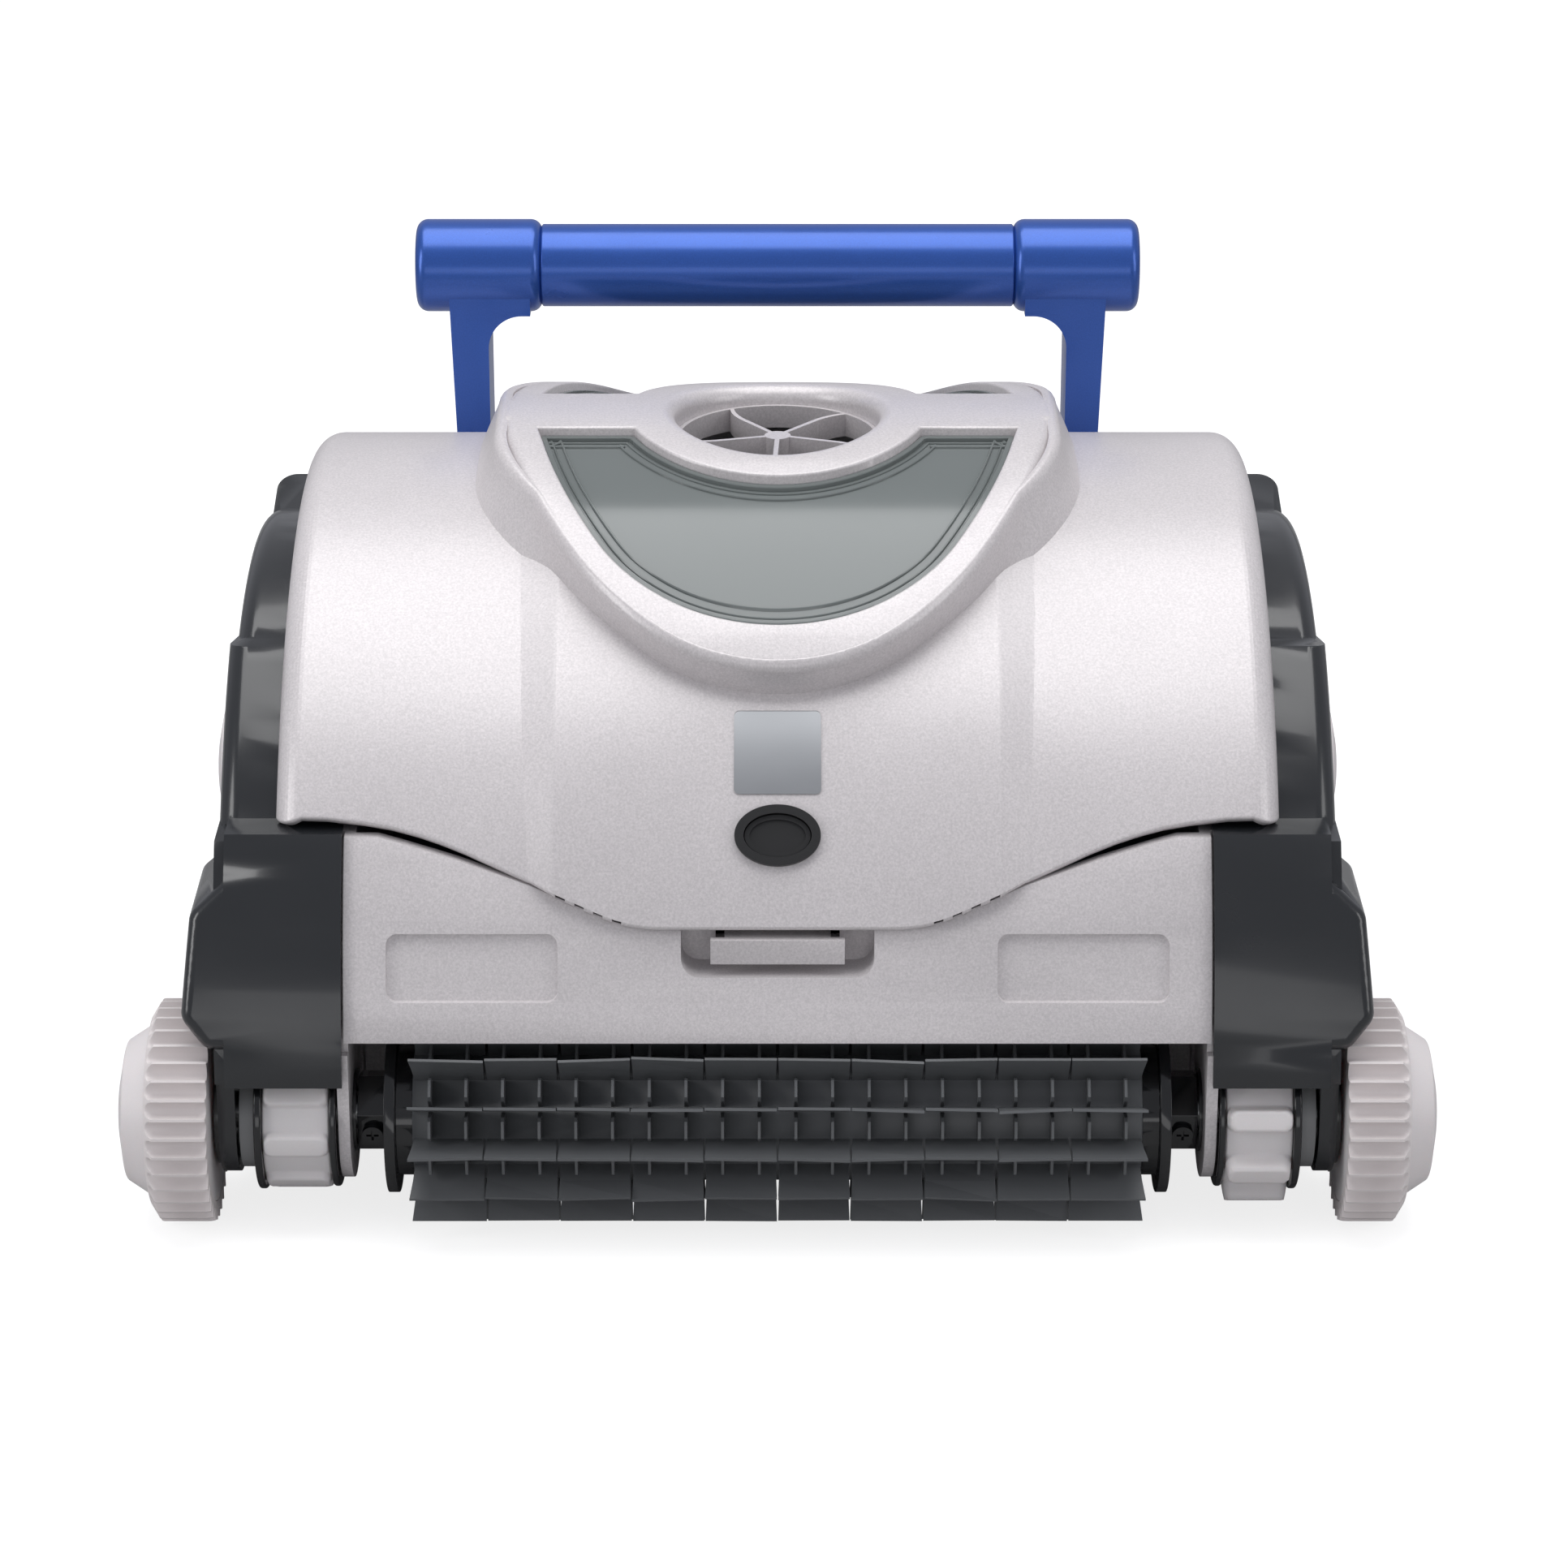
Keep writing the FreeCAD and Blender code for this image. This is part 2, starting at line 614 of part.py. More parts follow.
def tyre(end_name, end, side_name, side):
    """Rubber tyre whose treads are the ridges left between round valleys."""
    tag = f"{end_name}_tyre_{side_name}"
    face = "wheel_inner_x" if side > 0 else "-wheel_inner_x"
    tip = f"{side} * tyre_outer_x"
    root = f"{side} * (tyre_outer_x + 2.4)"
    profile = [
        (face, "rim_radius"),
        (root, "rim_radius"),
        (root, "tyre_radius - tread_depth - 0.4"),
        (tip, "tyre_radius"),
        (face, "tyre_radius"),
    ]
    body = axle_body(tag, profile)
    middle = "tyre_radius - tread_depth + tread_cut_radius"
    lower = f"{middle} - tread_cut_radius"
    cutter = [
        ("-tread_cut_radius", middle, "tread_cut_radius * 1.0001"),
        ("0", lower, "tread_cut_radius * 1.0001"),
        ("tread_cut_radius", middle),
        ("tread_cut_radius", "tyre_radius + 1"),
        ("-tread_cut_radius", "tyre_radius + 1"),
    ]
    valley = body.newObject("PartDesign::Pocket", f"{tag}_valley")
    valley.Profile = on_body(body, f"{tag}_cutter", cutter, role="YZ_Plane")
    valley.Type = "ThroughAll"
    valley.SideType = "Symmetric"
    polar(body, f"{tag}_treads", valley, "tread_count")
    half_pitch = 5
    node(f"{end_name}_tyre_{side_name}", on_axle(body, end, 90 + half_pitch))


def axle_bushes():
    """Plain bushes for both axles, in the leg plates and in the side covers."""
    solids = []
    for end_name, end in ENDS:
        place = (f"{end} * axle_y", "axle_z")
        tag = f"{end_name}_bush"
        inner = joined(
            f"{tag}_inner",
            rod(f"{tag}_inner_sleeve", "X", "bush_radius", "leg_inner_x - 0.2", "leg_outer_x", *place),
            rod(
                f"{tag}_inner_flange",
                "X",
                "coupler_radius - 0.2",
                "leg_inner_x - 1.1",
                "leg_inner_x - 0.05",
                *place,
            ),
        )
        outer = joined(
            f"{tag}_outer",
            rod(
                f"{tag}_outer_sleeve",
                "X",
                "bush_radius",
                "cavity_end_x + 0.1",
                "side_outer_x + 0.2",
                *place,
            ),
            rod(f"{tag}_outer_flange", "X", "17.5", "side_outer_x + 0.05", "side_outer_x + 1.7", *place),
        )
        bore = rod(f"{tag}_bore", "X", "shaft_radius + 0.05", "leg_inner_x - 3", "wheel_inner_x", *place)
        pair = minus(f"{tag}_pair", group(f"{tag}_blanks", inner, outer), bore)
        solids.append(both(f"{tag}es", pair, "X"))
    node("axle_bushes", group("bushes", *solids))


# ---------------------------------------------------------------- belt drive

def belt_loop(name, radii):
    """Solid loop round the front pulley, the drive pulley and the rear pulley, each grown to radii."""
    centres = [("axle_y * -1", "axle_z"), ("axle_y", "axle_z"), ("0", "drive_z")]
    numbers = [(value(u), value(v), value(size)) for (u, v), size in zip(centres, radii)]
    sketch = doc.addObject("Sketcher::SketchObject", f"{name}_outline")
    sketch.Placement = FreeCAD.Placement(Vector(), TURNS["YZ"])
    bind(sketch, px="belt_start_x")
    runs = []
    for first, second in ((0, 1), (1, 2), (2, 0)):
        u1, v1, size1 = numbers[first]
        u2, v2, size2 = numbers[second]
        gap = math.hypot(u2 - u1, v2 - v1)
        turn = math.atan2(v2 - v1, u2 - u1) - math.pi / 2 + math.asin((size2 - size1) / gap) * -1
        out = Vector(math.cos(turn), math.sin(turn), 0)
        runs.append((Vector(u1, v1, 0) + out * size1, Vector(u2, v2, 0) + out * size2))
    for number, (start, stop) in enumerate(runs):
        arrive = runs[number - 1][1]
        u, v, size = numbers[number]
        first = math.atan2(arrive.y - v, arrive.x - u)
        last = math.atan2(start.y - v, start.x - u)
        sketch.addGeometry(
            Part.ArcOfCircle(Part.Circle(Vector(u, v, 0), Vector(0, 0, 1), size), first, last)
        )
    for start, stop in runs:
        sketch.addGeometry(Part.LineSegment(start, stop))
    rules = []
    for number in range(3):
        rules.append(Sketcher.Constraint("Tangent", number, 2, 3 + number, 1))
        rules.append(Sketcher.Constraint("Tangent", 3 + number, 2, (number + 1) % 3, 1))
    first_rule = len(rules)
    for number in range(3):
        rules.append(Sketcher.Constraint("DistanceX", -1, 1, number, 3, numbers[number][0]))
        rules.append(Sketcher.Constraint("DistanceY", -1, 1, number, 3, numbers[number][1]))
        rules.append(Sketcher.Constraint("Radius", number, numbers[number][2]))
    sketch.addConstraint(rules)
    for number in range(3):
        for step, text in enumerate((*centres[number], radii[number])):
            sketch.setExpression(f"Constraints[{first_rule + 3 * number + step}]", formula(text))
    loop = doc.addObject("Part::Extrusion", name)
    loop.Base = sketch
    loop.DirMode = "Custom"
    loop.Dir = Vector(1, 0, 0)
    loop.Solid = True
    return bind(loop, LengthFwd="belt_end_x - belt_start_x")


def drive_belts():
    """A smooth flat belt on each side, round both axle pulleys and the drive pulley."""
    inside = ["pulley_radius + belt_gap", "pulley_radius + belt_gap", "drive_pulley_radius + belt_gap"]
    outside = [f"{size} + belt_thickness" for size in inside]
    right = minus("belt_right", belt_loop("belt_outside", outside), belt_loop("belt_inside", inside))
    node("drive_belt_right", right)
    node("drive_belt_left", flipped("belt_left", right, "X"))


def drive_shaft():
    """Output shaft of the drive motor, through both walls of the tub, with a pulley at each end."""
    reach = "belt_end_x"
    node("drive_shaft", rod("drive_rod", "X", "drive_shaft_radius", f"-{reach}", reach, 0, "drive_z"))
    solids = []
    for side_name, side in SIDES:
        low = "belt_start_x" if side > 0 else "-belt_end_x"
        high = "belt_end_x" if side > 0 else "-belt_start_x"
        rim = "ring_end_x + 1.6" if side > 0 else "-belt_start_x"
        rim_end = "belt_start_x" if side > 0 else "-ring_end_x - 1.6"
        wheel = joined(
            f"drive_pulley_{side_name}",
            rod(f"drive_pulley_face_{side_name}", "X", "drive_pulley_radius", low, high, 0, "drive_z"),
            rod(
                f"drive_pulley_rim_{side_name}", "X", "drive_pulley_radius + 3", rim, rim_end, 0, "drive_z"
            ),
        )
        bore = rod(f"drive_pulley_bore_{side_name}", "X", "drive_shaft_radius", "-180", "180", 0, "drive_z")
        solids.append(minus(f"drive_pulley_cut_{side_name}", wheel, bore))
    node("drive_pulleys", group("pulleys", *solids))


# ---------------------------------------------------------------- chassis

def seam(name, lower, gap):
    """Everything below the cover's bottom edge (lower) or above the housing's top edge."""
    half = [
        ("41", f"seam_low_z - {gap}", "38"),
        ("55.2", f"seam_low_z + 2.8 - {gap}"),
        ("100", f"seam_low_z + 20.8 - {gap}", "-120"),
        ("144.8", f"seam_high_z - 1.2 - {gap}"),
        ("170", f"seam_high_z - {gap}"),
    ]
    if not lower:
        half = [
            ("41", f"seam_low_z - {gap}", "38"),
            ("55.2", f"seam_low_z + 2.8 - {gap}"),
            ("79.6", f"seam_low_z + 12.1 - {gap}"),
            ("103.1", "seam_low_z + 18.7"),
            ("120.1", "seam_low_z + 23"),
            ("128.4", "seam_low_z + 24.9"),
            ("170", "seam_low_z + 24.9"),
        ]
    far = "-200" if lower else "230"
    outline = two_sided(half) + [("170", far), ("-170", far)]
    return extruded(name, "XZ", outline, "-200", "200")


SCREW_PLACES = [
    (f"{x} * (floor_opening_x + 5)", f"{y} * 75", f"{'left' if x < 0 else 'right'}_{y + 1}")
    for x in (-1, 1)
    for y in (-1, 0, 1)
]


def lower_housing():
    """Tub, front and rear walls, leg plates, latch pocket and hinge lugs, written as three sub-parts."""
    inner_half = "housing_half - housing_wall"
    outside = shared(
        "housing_outside",
        arch("housing_arch", "housing_radius", "housing_half"),
        block("housing_level", ("-housing_half", "housing_half"), (-200, 200), ("floor_z", 135)),
    )
    inside = shared(
        "housing_inside",
        arch("housing_inner_arch", "housing_radius - housing_wall", inner_half),
        block("housing_inner_level", (f"-({inner_half})", inner_half), (-200, 200), ("floor_z + 3", 140)),
    )
    bays = []
    inner_bays = []
    legs = []
    for end_name, end in ENDS:
        place = (f"{end} * axle_y", "axle_z")
        bays.append(
            rod(f"bay_{end_name}", "X", "bay_radius", "-housing_half - 1", "housing_half + 1", *place)
        )
        inner_bays.append(
            rod(f"bay_wall_{end_name}", "X", "bay_radius + 3", "-housing_half", "housing_half", *place)
        )
        legs.append(rod(f"leg_end_{end_name}", "X", "leg_radius", "leg_inner_x", "leg_outer_x", *place))
        low = f"{end} * axle_y - leg_radius"
        high = f"{end} * axle_y + leg_radius"
        legs.append(block(f"leg_{end_name}", ("leg_inner_x", "leg_outer_x"), (low, high), ("axle_z", 66)))
    chamber = minus("housing_chamber", inside, *inner_bays)
    walls = minus("housing_walls", outside, *bays, chamber)
    upper = shared(
        "leg_upper",
        rod("leg_arch", "X", "leg_top_radius", "leg_inner_x", "leg_outer_x", 0, "arch_z"),
        block("leg_level", ("leg_inner_x", "leg_outer_x"), (-200, 200), ("axle_z + leg_radius - 2", 131.4)),
    )
    lower = block("leg_tub", ("leg_inner_x", "leg_outer_x"), ("-tub_half_y", "tub_half_y"), ("floor_z", 70))
    plate = joined("leg_plate", upper, lower, *legs)
    pocket_box = block(
        "pocket_box",
        ("-pocket_half - 3", "pocket_half + 3"),
        ("-pocket_back_y - 16", "-pocket_back_y + 3"),
        ("pocket_low_z - 3", 112),
    )
    pocket_shell = shared("pocket_shell", pocket_box, arch("pocket_arch", "housing_radius - 1", 60))
    lugs = []
    for side in (-1, 1):
        for near, far in (("45", "51"), ("69", "75")):
            low, high = (near, far) if side > 0 else (f"-{far}", f"-{near}")
            tag = f"lug_{near}_{'right' if side > 0 else 'left'}"
            arm = block(
                f"{tag}_arm", (low, high), (162.5, "hinge_y"), ("hinge_z - hinge_radius", "hinge_z + 2")
            )
            lugs.append(arm)
            lugs.append(rod(f"{tag}_end", "X", "hinge_radius", low, high, "hinge_y", "hinge_z"))
    gland_seat = rod("gland_seat", "Y", "12", 165, 181, "-100", 90)
    whole = joined(
        "housing_whole", walls, plate, flipped(
            "leg_plate_image", plate, "X"
        ), pocket_shell, gland_seat, *lugs
    )
    recess = rounded(
        "recess",
        block(
            "recess_block", ("recess_start_x", "recess_end_x"), (-200, 0), ("recess_low_z", "recess_high_z")
        ),
        "3.5",
        along("Y"),
    )
    recess_ring = minus(
        "recess_ring", arch("recess_outer", "housing_radius + 9", 150), arch(
            "recess_inner", "housing_radius - recess_depth", 151
        )
    )
    recesses = shared("recess_cut", recess, recess_ring)
    recess_pair = both("recess_pair", recesses, "X")
    pocket = rounded(
        "pocket",
        block(
            "pocket_block", ("-pocket_half", "pocket_half"), (-190, "-pocket_back_y"), ("pocket_low_z", 130)
        ),
        "6",
        along("Y"),
    )
    pin = rod("hinge_bore", "X", "pin_radius", -80, 80, "hinge_y", "hinge_z")
    hatch = rounded(
        "hatch",
        block(
            "hatch_block",
            ("-floor_opening_x", "floor_opening_x"),
            ("-floor_opening_y", "floor_opening_y"),
            ("floor_z - 5", "floor_z + 8"),
        ),
        "10",
        along("Z"),
    )
    cuts = [
        seam("above_seam", False, "seam_gap"),
        recess_pair,
        flipped("recess_rear", recess_pair, "Y"),
        pocket,
        pin,
        hatch,
        rod("drive_hole", "X", "drive_shaft_radius + 1", -150, 150, 0, "drive_z"),
        rod("gland_hole", "Y", "6", 160, 190, "-100", 90),
        block(
            "neck_slot", (-20, 20), ("-pocket_back_y - 1", "-pocket_back_y + 4"), ("seam_low_z - 7.5", 130)
        ),
    ]
    for x, y, tag in SCREW_PLACES:
        cuts.append(
            rod(f"screw_bore_{tag}", "Z", "base_screw_radius + 0.1", "floor_z - 1", "floor_z + 2.4", x, y)
        )
    for end_name, end in ENDS:
        cuts.append(rod(f"leg_bore_{end_name}", "X", "bush_radius", -150, 150, f"{end} * axle_y", "axle_z"))
    housing = minus("housing", whole, *cuts)
    for name, low, high in (
        ("front", "-200", "-split_y"), ("middle", "-split_y", "split_y"), ("rear", "split_y", "200")
    ):
        region = block(f"region_{name}", (-160, 160), (low, high), (0, 200))
        node(f"housing_{name}", shared(f"housing_{name}", housing, region))


def base_plate():
    """Removable floor plate with the two suction inlets."""
    flange = rounded(
        "base_flange",
        block(
            "base_flange_block",
            ("-floor_opening_x - 9", "floor_opening_x + 9"),
            ("-floor_opening_y - 9", "floor_opening_y + 9"),
            ("floor_z - 2.5", "floor_z"),
        ),
        "12",
        along("Z"),
    )
    step = rounded(
        "base_step",
        block(
            "base_step_block",
            ("-floor_opening_x + 0.2", "floor_opening_x - 0.2"),
            ("-floor_opening_y + 0.2", "floor_opening_y - 0.2"),
            ("floor_z - 0.5", "floor_z + 2"),
        ),
        "9.8",
        along("Z"),
    )
    lugs = []
    cuts = []
    for end_name, end in ENDS:
        middle = f"{end} * inlet_y"
        y_range = (f"{middle} - inlet_half_y", f"{middle} + inlet_half_y")
        cuts.append(
            block(
                f"inlet_{end_name}",
                ("-inlet_half_x", "inlet_half_x"),
                y_range,
                ("floor_z - 5", "floor_z + 5"),
            ),
        )
        hinge = f"{end} * (inlet_y + inlet_half_y + 2)"
        for side_name, low, high in (("left", "-56", "-50"), ("right", "50", "56")):
            tag = f"flap_lug_{end_name}_{side_name}"
            lugs.append(
                block(tag, (low, high), (f"{hinge} - 2", f"{hinge} + 2"), ("floor_z + 1", "floor_z + 6.5"))
            )
        cuts.append(rod(f"flap_bore_{end_name}", "X", "1.05", -58, 58, hinge, "floor_z + 4"))
    for x, y, tag in SCREW_PLACES:
        cuts.append(
            rod(f"screw_hole_{tag}", "Z", "base_screw_radius + 0.1", "floor_z - 3", "floor_z + 1", x, y)
        )
        cuts.append(
            rod(f"screw_seat_{tag}", "Z", "screw_head_radius + 0.2", "floor_z - 3", "floor_z - 1.1", x, y)
        )
    node("base_plate", minus("base", joined("base_whole", flange, step, *lugs), *cuts))


def inlet_flap(end_name, end):
    """Non-return flap over an inlet, hinged along the inlet's outer edge on a pin of its own."""
    hinge = f"{end} * (inlet_y + inlet_half_y + 2)"
    near = f"{end} * (inlet_y + inlet_half_y - 1.6)"
    far = f"{end} * (inlet_y - inlet_half_y - 1.5)"
    low, high = (far, near) if end > 0 else (near, far)
    leaf = block(
        f"flap_leaf_{end_name}",
        ("-inlet_half_x - 1", "inlet_half_x + 1"),
        (low, high),
        ("floor_z + 2.4", "floor_z + 3.6"),
    )
    start, stop = sorted((hinge, near), key=value)
    web = block(f"flap_web_{end_name}", (-49, 49), (start, stop), ("floor_z + 2.6", "floor_z + 5.2"))
    pin = rod(f"flap_pin_{end_name}", "X", "1", -57, 57, hinge, "floor_z + 4")
    node(f"inlet_flap_{end_name}", joined(f"flap_{end_name}", leaf, web, pin))


def side_cover_outline(shrink):
    """Side view of a side cover's three lobes, from its front wall to the rear, and down to the axles."""
    half = [
        ("0", f"arch_z + top_radius - {shrink}", f"-(top_radius - {shrink})"),
        (f"top_end_y - {shrink}", f"arch_z + sqrt((top_radius - {shrink})^2 - (top_end_y - {shrink})^2)"),
        (
            f"middle_end_y - {shrink}",
            f"arch_z + sqrt((middle_radius - {shrink})^2 - (middle_end_y - {shrink})^2)",
            f"-(middle_radius - {shrink})",
        ),
        (
            f"sqrt((middle_radius - {shrink})^2 - (shoulder_high_z - {shrink} - arch_z)^2)",
            f"shoulder_high_z - {shrink}",
        ),
    ]
    return half


def side_covers():
    """Dark side cover with three lobes, an outer plate down to both axles and a fender per tyre."""
    def lobes(name, shrink, start, stop, bottom):
        half = side_cover_outline(shrink)
        low = (half[-1][0], bottom)
        right = half[1:] + [low]
        image = [(f"-({corner[0]})", corner[1]) for corner in reversed(right)]
        image[1] = (*image[1], half[2][2])
        image[-1] = (*image[-1], half[0][2])
        return extruded(name, "YZ", image + right, start, stop)

    def shoulders(name, shrink, start, stop, bottom):
        return shared(
            name,
            rod(f"{name}_round", "X", f"shoulder_radius - {shrink}", start, stop, 0, "arch_z"),
            block(f"{name}_level", (start, stop), (-200, 200), (bottom, f"shoulder_high_z - {shrink}")),
        )

    upper = lobes("side_lobes", "0", "side_inner_x", "side_outer_x", "60")
    top_edges = rounded(
        "side_lobes_rounded",
        upper,
        "side_round",
        lambda edge: edge.BoundBox.XMin > value("side_outer_x") - 0.01 and edge.BoundBox.ZMin > value(
            "shoulder_high_z"
        ) - 0.5
        and edge.Curve.TypeId == "Part::GeomCircle",
    )
    lower = shoulders("side_shoulders", "0", "shoulder_inner_x", "shoulder_outer_x", "shoulder_low_z")
    plate_parts = [
        block(
            "side_plate",
            ("cavity_end_x", "side_outer_x"),
            ("-axle_y", "axle_y"),
            ("axle_z - side_leg_radius", 66),
        ),
        shoulders("side_plate_top", "3", "cavity_end_x", "side_outer_x", "shoulder_low_z"),
    ]
    fenders = []
    bays = []
    for end_name, end in ENDS:
        place = (f"{end} * axle_y", "axle_z")
        plate_parts.append(
            rod(f"side_leg_{end_name}", "X", "side_leg_radius", "cavity_end_x", "side_outer_x", *place)
        )
        low = f"{end} * axle_y - side_leg_radius"
        high = f"{end} * axle_y + side_leg_radius"
        plate_parts.append(
            block(
                f"side_leg_wall_{end_name}", ("cavity_end_x", "side_outer_x"), (low, high), ("axle_z", 66)
            ),
        )
        bays.append(rod(f"tyre_bay_{end_name}", "X", "fender_bay_radius", "side_outer_x", 210, *place))
        bays.append(rod(f"outer_bush_seat_{end_name}", "X", "bush_radius", 170, 190, *place))

    def on_fender_rim(edge):
        """Whether an edge is where a fender's outer side meets the lobe's round front."""
        first, last = edge.ParameterRange
        middle = edge.valueAt((first + last) / 2)
        off_round = abs(math.hypot(middle.y, middle.z - value("arch_z")) - value("shoulder_radius"))
        return off_round < 0.05 and middle.x > value("side_outer_x") + 1

    fender_outline = [
        ("170", "119.5"),
        ("shoulder_outer_x", "119.5"),
        ("188.5", "110"),
        ("fender_outer_x", "78"),
        ("fender_outer_x - 8", "68"),
        ("170", "68"),
    ]
    for tag, start, stop in (("front", "-190", "-122"), ("rear", "122", "190")):
        pod = rounded(
            f"fender_ridged_{tag}",
            extruded(f"fender_{tag}", "XZ", fender_outline, start, stop),
            "fender_ridge_round",
            lambda edge: edge.BoundBox.YLength > 60 and edge.BoundBox.XMin > value("side_outer_x") + 0.5,
        )
        cut = shared(
            f"fender_cut_{tag}",
            pod,
            rod(f"fender_arch_{tag}", "X", "shoulder_radius", 160, 200, 0, "arch_z"),
        )
        fenders.append(rounded(f"fender_soft_{tag}", cut, "fender_rim_round", on_fender_rim))
    cavity = joined(
        "side_cavity",
        lobes("cavity_lobes", "side_wall", "130", "cavity_end_x", "0"),
        shoulders("cavity_shoulders", "side_wall", "130", "cavity_end_x - 0.8", "0"),
    )
    gap = shared(
        "leg_gap",
        rod("leg_gap_round", "X", "leg_top_radius + 0.2", 130, "leg_outer_x + 0.1", 0, "arch_z"),
        block("leg_gap_level", (130, "leg_outer_x + 0.1"), (-200, 200), (0, 134)),
    )
    whole = joined("side_whole", top_edges, lower, *plate_parts, *fenders)
    web = shared(
        "side_web",
        rod("web_round", "X", "web_radius", "side_inner_x", "web_outer_x", 0, "arch_z"),
        block("web_level", ("side_inner_x", "web_outer_x"), (-200, 200), ("shoulder_high_z - 1", 240)),
    )
    web_rim = minus("web_rim", web, rod("web_inside", "X", "top_radius - side_wall", 150, 160, 0, "arch_z"))
    right = joined("side_closed", minus("side_right", whole, cavity, gap, *bays), web_rim)
    node("side_cover_right", right)
    node("side_cover_left", flipped("side_left", right, "X"))


def motor_casing():
    """Sealed can for both motors, its cap with the seal, and what is inside."""
    can = minus(
        "casing",
        rod("casing_can", "Z", "casing_radius", "floor_z + 2.2", "casing_top_z"),
        rod("casing_room", "Z", "casing_radius - 3", "floor_z + 5.2", 200),
        rod("casing_shaft_hole", "X", "drive_shaft_radius + 0.1", -60, 60, 0, "drive_z"),
    )
    node("motor_casing", can)
    seal = minus(
        "seal",
        rod("seal_disc", "Z", "casing_radius", "casing_top_z", "casing_top_z + 2"),
        rod("seal_hole", "Z", "casing_radius - 3", 140, 160),
    )
    node("casing_seal", seal)
    cap = minus(
        "cap",
        joined(
            "cap_whole",
            rod("cap_disc", "Z", "casing_radius + 1", "casing_top_z + 2", "casing_top_z + 7"),
            rod("cap_boss", "Z", "11", "casing_top_z + 2", "casing_top_z + 14"),
        ),
        rod("cap_bore", "Z", "pump_shaft_radius + 0.05", 140, 170),
    )
    node("motor_casing_cap", cap)
    drive = minus(
        "drive_motor_body",
        rod("drive_motor_can", "X", "22", -31, 31, 0, "drive_z"),
        rod("drive_motor_bore", "X", "drive_shaft_radius + 0.05", -40, 40, 0, "drive_z"),
    )
    node("drive_motor", drive)
    pump = minus(
        "pump_motor_body",
        rod("pump_motor_can", "Z", "24", 98, 148),
        rod("pump_motor_bore", "Z", "pump_shaft_radius + 0.05", 126, 150),
    )
    node("pump_motor", pump)
    board = joined(
        "board",
        block("board_sheet", (-26, 26), (-20, 20), (24, 25.6)),
        block("board_relay", (-18, -4), (-10, 6), (25, 36)),
        block("board_coil", (4, 18), (-12, 4), (25, 33)),
    )
    node("control_board", board)


def pump():
    """Vertical shaft with its impeller, turning inside the duct that stands on the casing's cap."""
    duct = minus(
        "duct_ring",
        rod("duct_outside", "Z", "duct_inner_radius + 3", "duct_low_z", "duct_high_z"),
        rod("duct_inside", "Z", "duct_inner_radius", 150, 210),
    )
    feet = []
    for number in range(3):
        foot = block(
            f"duct_foot_{number}",
            ("duct_inner_radius + 0.5", "duct_inner_radius + 5"),
            (-6, 6),
            ("casing_top_z + 7", "duct_low_z + 8"),
        )
        turn = FreeCAD.Rotation(Vector(0, 0, 1), 30 + 120 * number)
        holder = group(f"duct_foot_turned_{number}", foot)
        holder.Placement = FreeCAD.Placement(Vector(), turn)
        feet.append(holder)
    node("pump_duct", joined("duct", duct, *feet))
    node("pump_shaft", rod("pump_rod", "Z", "pump_shaft_radius", 128, 196))
    hub = rod("impeller_hub", "Z", "9", 178, 198)
    blades = []
    for number in range(5):
        blade = block(f"blade_{number}", ("8", "impeller_radius"), (-1.2, 1.2), (-7, 7))
        tilt = FreeCAD.Rotation(Vector(1, 0, 0), 50)
        turn = FreeCAD.Rotation(Vector(0, 0, 1), 72 * number)
        tilted = group(f"blade_tilted_{number}", blade)
        tilted.Placement = FreeCAD.Placement(Vector(0, 0, 188), turn.multiply(tilt))
        blades.append(tilted)
    bore = rod("impeller_bore", "Z", "pump_shaft_radius", 170, 200)
    node("impeller", minus("impeller_cut", joined("impeller_whole", hub, *blades), bore))


def filters():
    """Four filter cartridges: an open frame with fine mesh set inside it."""
    frames = []
    media = []
    for x_name, x in SIDES:
        for y_name, y in ENDS:
            tag = f"filter_{y_name}_{x_name}"
            xs = ("52", "126") if x > 0 else ("-126", "-52")
            ys = ("14", "92") if y > 0 else ("-92", "-14")
            box = block(f"{tag}_box", xs, ys, (42, 104))
            room = block(
                f"{tag}_room", (f"{xs[0]} + 3", f"{xs[1]} - 3"), (f"{ys[0]} + 3", f"{ys[1]} - 3"), (30, 101)
            )
            front = block(
                f"{tag}_front", (f"{xs[0]} + 7", f"{xs[1]} - 7"), (f"{ys[0]} - 1", f"{ys[1]} + 1"), (50, 96)
            )
            side = block(
                f"{tag}_side", (f"{xs[0]} - 1", f"{xs[1]} + 1"), (f"{ys[0]} + 7", f"{ys[1]} - 7"), (50, 96)
            )
            frames.append(minus(f"{tag}_frame", box, room, front, side))
            sheet_out = block(
                f"{tag}_sheet", (
                    f"{xs[0]} + 3", f"{xs[1]} - 3"
                ), (f"{ys[0]} + 3", f"{ys[1]} - 3"), (46, 100.8)
            )
            sheet_in = block(
                f"{tag}_inner", (
                    f"{xs[0]} + 4", f"{xs[1]} - 4"
                ), (f"{ys[0]} + 4", f"{ys[1]} - 4"), (40, 102)
            )
            media.append(minus(f"{tag}_mesh", sheet_out, sheet_in))
    node("filter_frames", group("frames", *frames))
    node("filter_media", group("meshes", *media))


def cable_gland():
    """Threaded gland where the cable enters, in the seat at the rear left."""
    body = joined(
        "gland_whole",
        rod("gland_neck", "Y", "6", 168, 182, "-100", 90),
        rod("gland_nut", "Y", "9", 181.2, 187, "-100", 90),
    )
    node("cable_gland", minus("gland", body, rod("gland_hole_inner", "Y", "3.5", 160, 190, "-100", 90)))


